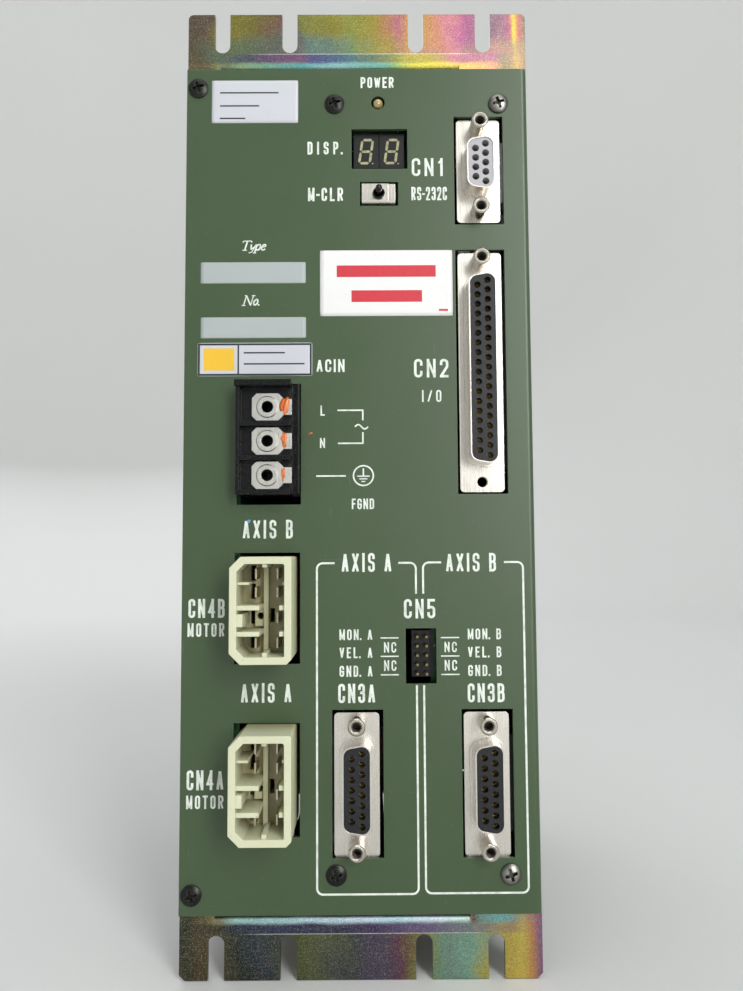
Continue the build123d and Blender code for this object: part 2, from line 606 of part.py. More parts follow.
# ---------------------------------------------------------------- motor connectors
MC_W, MC_H = 16.3, 28.0
MC_X0 = MOTOR_X - MC_W / 2
BLADE_XS = (21.8, 27.6)
BLADE_T, BLADE_H = 0.5, 2.8
BLADE_DZS = (9.4, 4.4, -2.4, -9.0)
BLADES = [(bx, dz) for bx in BLADE_XS for dz in BLADE_DZS if (bx, dz) != (21.8, -2.4)]


def motor_outline(zc, inset, depth_y):
    with BuildSketch(front(depth_y)) as sk:
        with Locations((X(MOTOR_X), Z(zc))):
            Rectangle(MC_W - 2 * inset, MC_H - 2 * inset)
        vs = sk.vertices()
        chamfer(vs.group_by(Axis.X)[0], 2.9 - 0.45 * inset)
        right = sk.vertices().group_by(Axis.X)[-1]
        chamfer(right.sort_by(Axis.Y)[0], max(1.3 - 0.6 * inset, 0.2))
        fillet(sk.vertices().sort_by(Axis.X)[-3:].sort_by(Axis.Y)[-1], 0.6)
    return sk.sketch


def motor_connector(name, zc):
    with BuildPart() as housing:
        extrude(motor_outline(zc, 0.0, 9.0), amount=9.0 + MOTOR_PROUD)
        # socket cavity
        extrude(motor_outline(zc, 1.9, -1.6), amount=MOTOR_PROUD, mode=Mode.SUBTRACT)
        # ribs from both side walls, set back from the mouth
        for dz, t, x1, set_back in ((6.9, 0.7, 21.0, 2.6), (0.6, 1.25, 24.0, 0.9), (-6.2, 1.25, 24.0, 0.9)):
            block(MC_X0 + 1.0, x1 - 0.6, -MOTOR_PROUD + set_back, -1.0, zc + dz - t / 2, zc + dz + t / 2)
            block(28.6 if t > 1 else 29.2, MC_X0 + MC_W - 1.0, -MOTOR_PROUD + set_back, -1.0,
                  zc + dz - t / 2, zc + dz + t / 2)
        # polarity tabs
        block(MC_X0 + 1.0, MC_X0 + 3.5, -MOTOR_PROUD + 0.3, -1.0, zc - 4.3, zc - 1.0)
        block(24.1, 25.4, -MOTOR_PROUD + 1.0, -1.0, zc + MC_H / 2 - 2.8, zc + MC_H / 2 - 1.0)
        block(24.1, 25.4, -MOTOR_PROUD + 1.0, -1.0, zc - MC_H / 2 + 1.0, zc - MC_H / 2 + 2.9)
        # raised centre of the floor, and the pad with the fixing hole beside it
        block(23.4, 24.7, -4.4, -1.0, zc - MC_H / 2 + 1.5, zc + MC_H / 2 - 1.5)
        block(20.95, 23.5, -3.6, -1.0, zc - 5.0, zc + 0.3)
        with BuildSketch(front(9.0)):
            with Locations((X(22.45), Z(zc - 2.2))):
                Circle(0.95)
            # slots in the floor beside the blades
            for dz in BLADE_DZS:
                with Locations((X(20.2), Z(zc + dz))):
                    Rectangle(1.25, 4.2)
            with Locations((X(25.5), Z(zc - 2.2))):
                Rectangle(1.3, 3.8)
            # passages for the blades
            for bx, dz in BLADES:
                with Locations((X(bx), Z(zc + dz))):
                    Rectangle(BLADE_T, BLADE_H)
        extrude(amount=14.0, mode=Mode.SUBTRACT)
    save(housing.part, name + "_housing")

    with BuildPart() as blades:
        for bx, dz in BLADES:
            end = 10.0 if bx < 24 else 11.6
            block(bx - BLADE_T / 2, bx + BLADE_T / 2, -8.6, end, zc + dz - BLADE_H / 2, zc + dz + BLADE_H / 2)
            block(BOARD_P_X, bx + BLADE_T / 2, end - 0.8, end, zc + dz - 0.5, zc + dz + 0.5)
    save(blades.part, name + "_blades")


motor_connector("motor_a", MOTOR_A_Z)
motor_connector("motor_b", MOTOR_B_Z)

# ---------------------------------------------------------------- monitor header
mon_spots = [(x, MON_Z + (i - 2) * MON_PITCH) for x in MON_XS for i in range(5)]
with BuildPart() as monitor_header_body:
    block(MON_XS[0] - 1.4, BOARD_C_X - 0.01, 3.4, 6.0, MON_Z - 6.5, MON_Z + 6.5)
    with BuildSketch(front(6.0)):
        with Locations(*[(X(a), Z(b)) for a, b in mon_spots]):
            Rectangle(0.66, 0.66)
    extrude(amount=3, mode=Mode.SUBTRACT)
save(monitor_header_body.part, "monitor_header_body")

with BuildPart() as monitor_header_pins:
    for a, b in mon_spots:
        block(a - 0.32, a + 0.32, -1.6, 8.6 if a < 66 else 7.4, b - 0.32, b + 0.32)
        y0 = 7.96 if a < 66 else 6.76
        block(a - 0.32, BOARD_C_X, y0, y0 + 0.64, b - 0.32, b + 0.32)
save(monitor_header_pins.part, "monitor_header_pins")

# ---------------------------------------------------------------- display, lamp
with BuildPart() as display_digits:
    for dx in DIGIT_XS:
        block(dx - 3.65, dx + 3.65, 2.0, 9.4, DIGIT_Z - 5.2, DIGIT_Z + 5.2)
        for zz in (-4.4, 4.4):
            block(dx - 2.6, dx + 2.6, 9.4, 10.0, DIGIT_Z + zz - 0.4, DIGIT_Z + zz + 0.4)
save(display_digits.part, "display_digits")

with BuildPart() as power_lamp:
    # 3 mm lamp: flanged base, barrel and dome
    with BuildSketch(side(LED_X)):
        with BuildLine():
            a = Line((Y(10.0), Z(LED_Z)), (Y(10.0), Z(LED_Z) + 1.9))
            b = Line(a @ 1, (Y(9.0), Z(LED_Z) + 1.9))
            c = Line(b @ 1, (Y(9.0), Z(LED_Z) + 1.5))
            d = Line(c @ 1, (Y(1.0), Z(LED_Z) + 1.5))
            e = RadiusArc(d @ 1, (Y(-0.5), Z(LED_Z)), -1.5)
            Line(e @ 1, a @ 0)
        make_face()
    revolve(axis=Axis((X(LED_X), 0, Z(LED_Z)), (0, 1, 0)))
save(power_lamp.part, "power_lamp")

# ---------------------------------------------------------------- toggle
PIV_Y = 1.6
YOKE = ((50.7, 58.4, 0.0), (58.4, 60.4, 0.3))   # x from, x to, set back


def yoke_profile(x, set_back, grow):
    """Cross-section (Y, Z) of the body, or of the yoke's outside, with a round lower front edge."""
    y0, half, r = 0.5 + set_back - grow, 2.6 + grow, 1.1 + grow
    with BuildSketch(side(x)) as sk:
        with BuildLine():
            Polyline((Y(y0), Z(TOGGLE_Z) + half), (Y(10.0 if grow == 0 else 8.0), Z(TOGGLE_Z) + half),
                     (Y(10.0 if grow == 0 else 8.0), Z(TOGGLE_Z) - half), (Y(y0), Z(TOGGLE_Z) - half), close=True)
        make_face()
        fillet(near(sk.vertices(), [(Y(y0), Z(TOGGLE_Z) - half)]), r)
    return sk.sketch


with BuildPart() as toggle_body:
    for x0, x1, set_back in YOKE:
        extrude(yoke_profile(x0, set_back, 0), amount=x1 - x0)
    block(TOGGLE_X - 2.4, TOGGLE_X + 2.4, -1.0, 5.5, TOGGLE_Z - 1.3, TOGGLE_Z + 1.3, mode=Mode.SUBTRACT)
    with Locations(Location((X(TOGGLE_X), Y(PIV_Y), Z(TOGGLE_Z)))):
        Cylinder(0.45, 4.0, mode=Mode.SUBTRACT)
save(toggle_body.part, "toggle_body")

with BuildPart() as toggle_bracket:
    # thin plated yoke over the body's front, folded back along its lower and upper edges
    for x0, x1, set_back in YOKE:
        extrude(yoke_profile(x0, set_back, 0.4), amount=x1 - x0)
    for x0, x1, set_back in YOKE:
        extrude(yoke_profile(x0, set_back, 0), amount=x1 - x0, mode=Mode.SUBTRACT)
    with BuildSketch(front(0.5)):
        with Locations((X(TOGGLE_X), Z(TOGGLE_Z))):
            Circle(1.75)
    extrude(amount=1, mode=Mode.SUBTRACT)
save(toggle_bracket.part, "toggle_bracket")

with BuildPart() as toggle_bushing:
    with BuildSketch(front(0.5)):
        with Locations((X(TOGGLE_X), Z(TOGGLE_Z))):
            Circle(1.75)
    extrude(amount=1.2)
    with BuildSketch(front(0.5)):
        with Locations((X(TOGGLE_X), Z(TOGGLE_Z))):
            SlotOverall(2.9, 2.1)
    extrude(amount=1.2, mode=Mode.SUBTRACT)
    chamfer(toggle_bushing.edges().filter_by(GeomType.CIRCLE).filter_by(lambda e: abs(e.radius - 1.75) < 0.01)
            .sort_by(Axis.Y)[0], 0.12)
save(toggle_bushing.part, "toggle_bushing")

with BuildPart() as toggle_lever:
    with BuildSketch(side(TOGGLE_X)):
        with BuildLine():
            a = Line((Y(PIV_Y + 2.2), Z(TOGGLE_Z)), (Y(PIV_Y + 2.2), Z(TOGGLE_Z) + 0.6))
            b = Line(a @ 1, (Y(PIV_Y), Z(TOGGLE_Z) + 0.85))
            c = Line(b @ 1, (Y(-1.2), Z(TOGGLE_Z) + 0.8))
            d = Line(c @ 1, (Y(-LEVER_TIP + 0.95), Z(TOGGLE_Z) + 0.95))
            e = RadiusArc(d @ 1, (Y(-LEVER_TIP), Z(TOGGLE_Z)), -0.95)
            Line(e @ 1, a @ 0)
        make_face()
    revolve(axis=Axis((X(TOGGLE_X), 0, Z(TOGGLE_Z)), (0, 1, 0)))
    # pivot pin, in the body's two side walls
    with Locations(Location((X(TOGGLE_X), Y(PIV_Y), Z(TOGGLE_Z)))):
        Cylinder(0.4, 3.8)
save(toggle_lever.part, "toggle_lever")

# ---------------------------------------------------------------- parts on the boards
with BuildPart() as display_link:
    # header that joins the display board's rear to the processor board
    block(61.5, BOARD_C_X, 11.6, 17.6, 205, 226)
save(display_link.part, "display_link")

with BuildPart() as axis_a_chips:
    for y0, y1, z0, z1 in ((30, 50, 30, 52), (60, 92, 28, 48), (36, 44, 70, 92), (60, 68, 70, 92), (84, 92, 70, 92),
                           (36, 58, 120, 142), (74, 94, 116, 136)):
        block(BOARD_A_X, BOARD_A_X + 3.6, y0, y1, z0, z1)
save(axis_a_chips.part, "axis_a_chips")

with BuildPart() as axis_b_chips:
    for y0, y1, z0, z1 in ((30, 50, 30, 52), (60, 92, 28, 48), (36, 44, 70, 92), (60, 68, 70, 92), (84, 92, 70, 92),
                           (36, 58, 190, 212), (74, 94, 120, 140)):
        block(BOARD_B_X - 3.6, BOARD_B_X, y0, y1, z0, z1)
save(axis_b_chips.part, "axis_b_chips")

with BuildPart() as processor_chips:
    for y0, y1, z0, z1 in ((40, 70, 120, 150), (84, 100, 120, 156), (40, 56, 170, 206), (66, 82, 170, 206), (92, 100, 60, 82)):
        block(BOARD_C_X - 3.4, BOARD_C_X, y0, y1, z0, z1)
save(processor_chips.part, "processor_chips")

with BuildPart() as thermal_pads:
    for z0, z1 in ((28, 90), (102, 164), (178, 212)):
        block(8.0, 8.3, 50, 88, z0, z1)
save(thermal_pads.part, "thermal_pads")

with BuildPart() as power_modules:
    for z0, z1 in ((29, 89), (103, 163)):
        block(8.3, 13.1, 51, 87, z0, z1)
        for k in range(9):
            zz = z0 + 6 + k * 6
            block(12.0, BOARD_P_X - BOARD_T, 87, 87.7, zz - 0.4, zz + 0.4)
            block(12.0, 12.7, 86.9, 87.7, zz - 0.4, zz + 0.4)
save(power_modules.part, "power_modules")

with BuildPart() as bridge_rectifier:
    block(8.3, 13.1, 51, 87, 179, 211)
    for k in range(4):
        zz = 184 + k * 7.4
        block(12.0, BOARD_P_X - BOARD_T, 87, 87.7, zz - 0.4, zz + 0.4)
        block(12.0, 12.7, 86.9, 87.7, zz - 0.4, zz + 0.4)
save(bridge_rectifier.part, "bridge_rectifier")

with BuildPart() as bus_capacitors:
    with BuildSketch(side(BOARD_P_X)):
        with Locations((Y(104), Z(206)), (Y(104), Z(182)), (Y(104), Z(158)), (Y(79), Z(206))):
            Circle(11.0)
    extrude(amount=21.5)
    crimps = bus_capacitors.edges().filter_by(GeomType.CIRCLE).group_by(Axis.X)[-1]
    fillet(crimps, 1.0)
save(bus_capacitors.part, "bus_capacitors")

with BuildPart() as transformer_core:
    # two E halves around the bobbin
    block(BOARD_P_X + 1, BOARD_P_X + 19, 60, 88, 104, 132)
    block(BOARD_P_X, BOARD_P_X + 20, 66, 82, 109, 127, mode=Mode.SUBTRACT)
    block(BOARD_P_X + 1, BOARD_P_X + 19, 71, 77, 104, 132)
save(transformer_core.part, "transformer_core")

with BuildPart() as transformer_bobbin:
    block(BOARD_P_X, BOARD_P_X + 20, 66, 82, 109, 127)
    block(BOARD_P_X - 1, BOARD_P_X + 21, 71, 77, 108, 128, mode=Mode.SUBTRACT)
save(transformer_bobbin.part, "transformer_bobbin")

with BuildPart() as line_choke:
    # wound ring core lying on the board
    with BuildSketch(side(BOARD_P_X)):
        with Locations((Y(40), Z(176))):
            Circle(12.0)
            Circle(4.5, mode=Mode.SUBTRACT)
    extrude(amount=10.5)
    fillet(line_choke.edges().filter_by(GeomType.CIRCLE), 2.2)
save(line_choke.part, "line_choke")

with BuildPart() as inrush_relay:
    block(BOARD_P_X, BOARD_P_X + 15.5, 44, 72, 72, 82.5)
    fillet(inrush_relay.edges().filter_by(Axis.X), 0.8)
save(inrush_relay.part, "inrush_relay")

with BuildPart() as fuse:
    with BuildSketch(front(47.0)):
        with Locations((X(BOARD_P_X + 5.0), Z(206))):
            Circle(2.5)
    extrude(amount=20.0)
save(fuse.part, "fuse")

with BuildPart() as fuse_clips:
    for y0 in (28.0, 42.0):
        block(BOARD_P_X, BOARD_P_X + 6.0, y0, y0 + 4.0, 202.9, 209.1)
    with BuildSketch(front(47.0)):
        with Locations((X(BOARD_P_X + 5.0), Z(206))):
            Circle(2.51)
    extrude(amount=20.0, mode=Mode.SUBTRACT)
save(fuse_clips.part, "fuse_clips")
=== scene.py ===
import json
import math
import random

import bmesh
import bpy
from mathutils import Matrix, Vector

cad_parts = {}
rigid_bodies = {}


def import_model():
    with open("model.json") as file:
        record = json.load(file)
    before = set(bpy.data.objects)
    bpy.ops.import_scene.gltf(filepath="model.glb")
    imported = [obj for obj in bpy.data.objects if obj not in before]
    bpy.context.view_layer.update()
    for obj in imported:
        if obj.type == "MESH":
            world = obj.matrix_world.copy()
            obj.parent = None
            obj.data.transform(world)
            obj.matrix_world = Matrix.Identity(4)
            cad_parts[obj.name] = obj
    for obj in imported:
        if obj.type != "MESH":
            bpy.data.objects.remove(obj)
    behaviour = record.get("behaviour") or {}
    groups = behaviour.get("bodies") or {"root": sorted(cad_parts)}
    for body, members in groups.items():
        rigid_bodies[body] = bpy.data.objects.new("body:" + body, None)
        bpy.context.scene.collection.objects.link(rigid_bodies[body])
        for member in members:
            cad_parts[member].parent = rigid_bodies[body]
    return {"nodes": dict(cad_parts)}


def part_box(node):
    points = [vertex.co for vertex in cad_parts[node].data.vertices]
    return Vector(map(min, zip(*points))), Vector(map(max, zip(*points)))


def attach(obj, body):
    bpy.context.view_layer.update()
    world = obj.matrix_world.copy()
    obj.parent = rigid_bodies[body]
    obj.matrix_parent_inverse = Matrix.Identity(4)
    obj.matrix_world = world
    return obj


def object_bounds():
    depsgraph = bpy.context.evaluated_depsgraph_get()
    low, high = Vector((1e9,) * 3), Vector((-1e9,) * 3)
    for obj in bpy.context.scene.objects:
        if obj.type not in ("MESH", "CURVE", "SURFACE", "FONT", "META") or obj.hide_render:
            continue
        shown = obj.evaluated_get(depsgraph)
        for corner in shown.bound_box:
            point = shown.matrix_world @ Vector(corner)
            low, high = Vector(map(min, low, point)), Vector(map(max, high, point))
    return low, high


for _o in list(bpy.data.objects):
    bpy.data.objects.remove(_o)

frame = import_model()
NODES = frame["nodes"]
CAD_LO, CAD_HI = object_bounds()
scene = bpy.context.scene

# ------------------------------------------------------------------ places
# Positions are in millimetres from the panel's lower left corner (x, z) and its front (y).
PANEL_LO, PANEL_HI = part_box("front_cover")
PX, PY, PZ = PANEL_LO.x, PANEL_LO.y, PANEL_LO.z


def at(x, y, z):
    return Vector((PX + x / 1000, PY + y / 1000, PZ + z / 1000))


# ------------------------------------------------------------------ camera
def rot(axis, deg):
    return Matrix.Rotation(math.radians(deg), 3, axis)


cam_data = bpy.data.cameras.new("camera")
cam = bpy.data.objects.new("camera", cam_data)
scene.collection.objects.link(cam)
scene.camera = cam
turn = rot("Z", -0.256) @ rot("X", 3.94) @ rot("Y", 0.317)
right, fwd, up = turn.col[0], turn.col[1], turn.col[2]
pose = Matrix((right, up, -fwd)).transposed().to_4x4()
pose.translation = at(52.01, -226.76, 98.61)
cam.matrix_world = pose
cam_data.sensor_fit = "HORIZONTAL"
cam_data.sensor_width = 36.0
cam_data.lens = 807.8 / 743 * 36.0
cam_data.clip_start, cam_data.clip_end = 0.005, 20.0


# ------------------------------------------------------------------ node graphs
def lin(v):
    v = v / 255.0
    return v / 12.92 if v <= 0.04045 else ((v + 0.055) / 1.055) ** 2.4


def srgb(r, g, b, k=1.0):
    return (lin(r) * k, lin(g) * k, lin(b) * k, 1.0)


class Graph:
    """A Principled material with small helpers for its nodes."""

    def __init__(self, name, **sockets):
        self.m = bpy.data.materials.new(name)
        self.m.use_nodes = True
        self.t = self.m.node_tree
        self.t.nodes.clear()
        out = self.t.nodes.new("ShaderNodeOutputMaterial")
        self.b = self.t.nodes.new("ShaderNodeBsdfPrincipled")
        self.t.links.new(self.b.outputs[0], out.inputs[0])
        self.tc = self.t.nodes.new("ShaderNodeTexCoord")
        self.obj = self.tc.outputs["Object"]
        for k, v in sockets.items():
            self.b.inputs[k.replace("_", " ")].default_value = v

    def put(self, sock, value):
        if isinstance(value, bpy.types.NodeSocket):
            self.t.links.new(value, sock)
        else:
            sock.default_value = value

    def to(self, socket, value):
        self.put(self.b.inputs[socket], value)

    def vec(self, scale=(1, 1, 1), loc=(0, 0, 0), rot=(0, 0, 0)):
        n = self.t.nodes.new("ShaderNodeMapping")
        self.put(n.inputs["Vector"], self.obj)
        n.inputs["Scale"].default_value = scale
        n.inputs["Location"].default_value = loc
        n.inputs["Rotation"].default_value = rot
        return n.outputs[0]

    def noise(self, scale, detail=2.0, rough=0.5, distortion=0.0, vec=None):
        n = self.t.nodes.new("ShaderNodeTexNoise")
        self.put(n.inputs["Vector"], self.obj if vec is None else vec)
        n.inputs["Scale"].default_value = scale
        n.inputs["Detail"].default_value = detail
        n.inputs["Roughness"].default_value = rough
        n.inputs["Distortion"].default_value = distortion
        return n.outputs["Fac"]

    def voronoi(self, scale, vec=None, feature="F1", out="Distance"):
        n = self.t.nodes.new("ShaderNodeTexVoronoi")
        n.feature = feature
        self.put(n.inputs["Vector"], self.obj if vec is None else vec)
        n.inputs["Scale"].default_value = scale
        return n.outputs[out]

    def wave(self, scale, axis="X", distortion=0.0, detail=0.0, vec=None):
        n = self.t.nodes.new("ShaderNodeTexWave")
        n.bands_direction = axis
        self.put(n.inputs["Vector"], self.obj if vec is None else vec)
        n.inputs["Scale"].default_value = scale
        n.inputs["Distortion"].default_value = distortion
        n.inputs["Detail"].default_value = detail
        return n.outputs["Fac"]

    def math(self, op, a, b=0.0, c=0.0, clamp=False):
        n = self.t.nodes.new("ShaderNodeMath")
        n.operation = op
        n.use_clamp = clamp
        self.put(n.inputs[0], a)
        self.put(n.inputs[1], b)
        if op in ("MULTIPLY_ADD", "SMOOTH_MIN", "SMOOTH_MAX", "WRAP"):
            self.put(n.inputs[2], c)
        return n.outputs[0]

    def fit(self, v, a, b, c, d, smooth=False):
        n = self.t.nodes.new("ShaderNodeMapRange")
        n.interpolation_type = "SMOOTHSTEP" if smooth else "LINEAR"
        self.put(n.inputs["Value"], v)
        for k, x in zip(("From Min", "From Max", "To Min", "To Max"), (a, b, c, d)):
            n.inputs[k].default_value = x
        return n.outputs["Result"]

    def ramp(self, fac, stops, mode="LINEAR"):
        n = self.t.nodes.new("ShaderNodeValToRGB")
        n.color_ramp.interpolation = mode
        e = n.color_ramp.elements
        while len(e) < len(stops):
            e.new(0.5)
        for el, (p, c) in zip(e, stops):
            el.position = p
            el.color = c
        self.put(n.inputs[0], fac)
        return n.outputs[0]

    def mix(self, fac, a, b, blend="MIX"):
        n = self.t.nodes.new("ShaderNodeMix")
        n.data_type = "RGBA"
        n.blend_type = blend
        self.put(n.inputs[0], fac)
        self.put(n.inputs[6], a)
        self.put(n.inputs[7], b)
        return n.outputs[2]

    def xyz(self):
        n = self.t.nodes.new("ShaderNodeSeparateXYZ")
        self.put(n.inputs[0], self.obj)
        return n.outputs[0], n.outputs[1], n.outputs[2]

    def bump(self, height, strength, distance, normal=None):
        n = self.t.nodes.new("ShaderNodeBump")
        n.inputs["Strength"].default_value = strength
        n.inputs["Distance"].default_value = distance
        self.put(n.inputs["Height"], height)
        if normal is not None:
            self.put(n.inputs["Normal"], normal)
        return n.outputs[0]

    def round_edges(self, radius, samples=6):
        n = self.t.nodes.new("ShaderNodeBevel")
        n.samples = samples
        n.inputs["Radius"].default_value = radius
        return n.outputs[0]

    def edge(self, radius, samples=6):
        """1 along edges, 0 on flat faces."""
        geo = self.t.nodes.new("ShaderNodeNewGeometry")
        dot = self.t.nodes.new("ShaderNodeVectorMath")
        dot.operation = "DOT_PRODUCT"
        self.put(dot.inputs[0], self.round_edges(radius, samples))
        self.put(dot.inputs[1], geo.outputs["Normal"])
        return self.fit(dot.outputs["Value"], 0.999, 0.86, 0.0, 1.0)


def paint(names, graph):
    for n in names:
        o = NODES[n]
        o.data.materials.clear()
        o.data.materials.append(graph.m)


# ------------------------------------------------------------------ materials
# semi-gloss green enamel
g = Graph("green_enamel", Metallic=0.0, IOR=1.56)
broad = g.noise(14.0, 3.0, 0.55)
fine = g.noise(900.0, 3.0, 0.6)
base = g.mix(broad, (0.0360, 0.0690, 0.0255, 1), (0.0435, 0.0790, 0.0315, 1))
base = g.mix(g.fit(fine, 0.62, 0.80, 0.0, 0.30), base, (0.105, 0.130, 0.090, 1))
scr = g.noise(1.0, 2.0, 0.5, vec=g.vec((60, 60, 2600), rot=(0, 0.5, 0)))
scr2 = g.noise(1.0, 1.0, 0.5, vec=g.vec((2200, 60, 90), rot=(0, 0.25, 0)))
scratch = g.math("MAXIMUM", g.fit(scr, 0.735, 0.79, 0, 1), g.fit(scr2, 0.745, 0.80, 0, 1))
worn = g.math("MULTIPLY", scratch, g.fit(g.noise(35.0, 2.0), 0.52, 0.68, 0, 0.5))
base = g.mix(worn, base, (0.20, 0.23, 0.18, 1))
edge = g.math("MULTIPLY", g.edge(0.00035), g.fit(g.noise(420.0, 3.0), 0.35, 0.75, 0.0, 0.75))
base = g.mix(edge, base, (0.16, 0.19, 0.14, 1))
smudge = g.noise(38.0, 4.0, 0.6, 0.6)
g.to("Base Color", base)
g.to("Roughness", g.math("ADD", g.fit(smudge, 0.3, 0.7, 0.345, 0.405), g.math("MULTIPLY", worn, 0.15)))
peel = g.math("ADD", g.noise(1500.0, 2.0, 0.5), g.math("MULTIPLY", g.noise(300.0, 2.0), 0.5))
g.to("Normal", g.bump(peel, 0.10, 0.00006, g.round_edges(0.00022)))
GREEN = g

# passivated zinc, with its interference colours; the two bend tables hold painted reflections
UPPER = [(0, 104, 88, 75), (7, 112, 92, 82), (12.3, 152, 142, 54), (19, 132, 124, 50), (25.5, 138, 88, 100),
         (32.5, 140, 144, 72), (41, 164, 156, 62), (47.4, 152, 160, 70), (53, 170, 154, 62), (57.7, 188, 132, 92),
         (61.5, 192, 112, 132), (67, 208, 166, 76), (74, 208, 142, 112), (78.4, 206, 130, 142), (83.5, 176, 92, 142),
         (89.4, 126, 98, 116), (93.4, 150, 102, 124), (94.6, 172, 92, 118), (95.7, 208, 194, 64), (96.9, 184, 104, 104), (98.6, 122, 108, 96)]
UPPER_ROOT = [(3, 128, 100, 76), (10.4, 84, 112, 124), (19, 104, 86, 124), (28, 142, 96, 140), (35.5, 86, 92, 150),
              (44.4, 82, 132, 150), (53, 122, 142, 110), (62, 166, 166, 82), (71, 198, 182, 82), (78.4, 202, 132, 142),
              (88.8, 172, 116, 142), (93.2, 92, 134, 82), (96.2, 178, 164, 70), (98.6, 120, 106, 92)]
# bend tables: chromate tints with painted reflections, the bright white and teal bands where the curved bend catches
# the light
UPPER_BEND_REFLECTION = [(0, 138, 112, 74), (6, 160, 130, 70), (9, 255, 240, 130), (11.5, 172, 196, 140), (20, 140, 196, 168),
              (30, 112, 190, 194), (41, 158, 214, 214), (53, 124, 194, 184), (62, 164, 204, 124), (71, 238, 226, 92),
              (81, 242, 204, 112), (88.8, 224, 152, 122), (93.2, 112, 142, 82), (96.2, 168, 148, 64), (98.8, 120, 106, 92)]
LOWER = [(0, 60, 52, 40), (3, 48, 56, 42), (7, 88, 72, 52), (12.9, 82, 74, 48), (18.9, 36, 48, 52), (24.3, 52, 62, 82),
         (29, 70, 76, 60), (32.5, 86, 96, 54), (39.4, 96, 102, 72), (46.2, 70, 76, 84), (50.3, 80, 72, 100), (57.1, 90, 78, 104),
         (61.3, 112, 64, 92), (64.2, 122, 102, 64), (69.5, 150, 160, 92), (73.6, 122, 164, 148), (76.3, 130, 162, 146),
         (80.4, 132, 180, 160), (83.6, 190, 180, 92), (89, 206, 182, 82), (93.5, 222, 200, 92), (96.3, 216, 152, 92), (98.4, 152, 102, 142)]
LOWER_ROOT = [(2, 46, 50, 40), (13, 42, 52, 70), (27, 52, 62, 102), (41, 62, 62, 96), (54, 82, 62, 112), (68, 122, 102, 150),
              (79, 132, 142, 150), (87, 182, 162, 112), (98, 160, 110, 140)]
LOWER_BEND_REFLECTION = [(0, 60, 58, 42), (6, 72, 66, 46), (9.3, 242, 232, 152), (13, 190, 214, 180), (16, 170, 214, 210), (32, 184, 220, 226),
              (49, 200, 216, 236), (60, 170, 206, 216), (71, 190, 202, 216), (78.4, 162, 192, 182), (79.6, 112, 44, 44),
              (81, 128, 168, 160), (85, 130, 190, 190), (91, 122, 182, 182), (98, 160, 110, 150)]
g = Graph("zinc_chromate", Metallic=1.0)
x, y, z = g.xyz()
cloud = g.noise(34.0, 3.0, 0.55, 0.4, vec=g.vec((1.0, 1.0, 0.55), loc=(0.31, 0, 0.12)))
cloud2 = g.noise(110.0, 3.0, 0.55, vec=g.vec((1, 1, 0.8), loc=(0.1, 0.7, 0.4)))
grain = g.noise(3300.0, 2.0, 0.6)
absz = g.math("ABSOLUTE", z)
rise = g.fit(absz, 0.1248, 0.1370, 0.0, 1.0)
warp = g.math("ADD", g.fit(cloud, 0.25, 0.75, -0.055, 0.055), g.fit(cloud2, 0.25, 0.75, -0.022, 0.022))
warp = g.math("ADD", warp, g.fit(grain, 0.2, 0.8, -0.010, 0.010))
pos = g.fit(x, PX, PX + 0.099, 0.0, 1.0)
# the outermost stripe by the right edge stays straight; elsewhere the colours wander
calm = g.fit(pos, 0.86, 0.93, 1.0, 0.12, True)
pos_w = g.math("ADD", pos, g.math("MULTIPLY", warp, calm))


def along(stops):
    return g.ramp(pos_w, [(k / 99.0, srgb(r, gg, bb)) for k, r, gg, bb in stops])


upper = g.math("GREATER_THAN", z, 0.0)
main = g.mix(upper, along(LOWER), along(UPPER))
# towards the root the hues turn through green and blue
blues = g.ramp(g.math("ADD", pos, g.math("MULTIPLY", warp, 2.0)), [(0.0, srgb(104, 96, 70)), (0.12, srgb(96, 128, 104)), (0.24, srgb(112, 118, 130)),
                     (0.34, srgb(92, 140, 150)), (0.44, srgb(120, 156, 120)), (0.56, srgb(170, 158, 72)), (0.8, srgb(206, 134, 138)), (1.0, srgb(120, 140, 96))])
low_part = g.math("MULTIPLY", g.fit(g.math("ADD", rise, g.fit(cloud, 0.3, 0.7, -0.35, 0.35)), 0.05, 0.55, 0.75, 0.0, True), upper)
main = g.mix(low_part, main, blues)
root = g.mix(upper, along(LOWER_ROOT), along(UPPER_ROOT))
bend_reflection = g.mix(upper, along(LOWER_BEND_REFLECTION), along(UPPER_BEND_REFLECTION))
in_strip = g.math("MULTIPLY", g.fit(pos, 0.10, 0.16, 0.25, 1.0, True), g.fit(pos, 0.90, 0.95, 1.0, 0.25, True))
wob = g.math("ADD", absz, g.fit(cloud2, 0.3, 0.7, -0.0003, 0.0003))
col = g.mix(g.math("MULTIPLY", g.fit(absz, 0.1246, 0.1252, 1.0, 0.0, True), in_strip), main, root)
# the band just by the panel edge gets the bend's painted reflection colours
col = g.mix(g.math("MULTIPLY", g.fit(wob, 0.1216, 0.1228, 1.0, 0.0, True), in_strip), col, bend_reflection)
# painted highlight: a thin near-white line along the crease above the bend
crease_highlight = g.math("MULTIPLY", g.fit(g.math("ABSOLUTE", g.math("SUBTRACT", absz, 0.1249)), 0.00006, 0.00016, 0.85, 0.0),
                g.math("MULTIPLY", g.fit(pos, 0.16, 0.24, 0.0, 1.0), g.fit(pos, 0.80, 0.86, 1.0, 0.0)))
col = g.mix(crease_highlight, col, srgb(232, 234, 222))
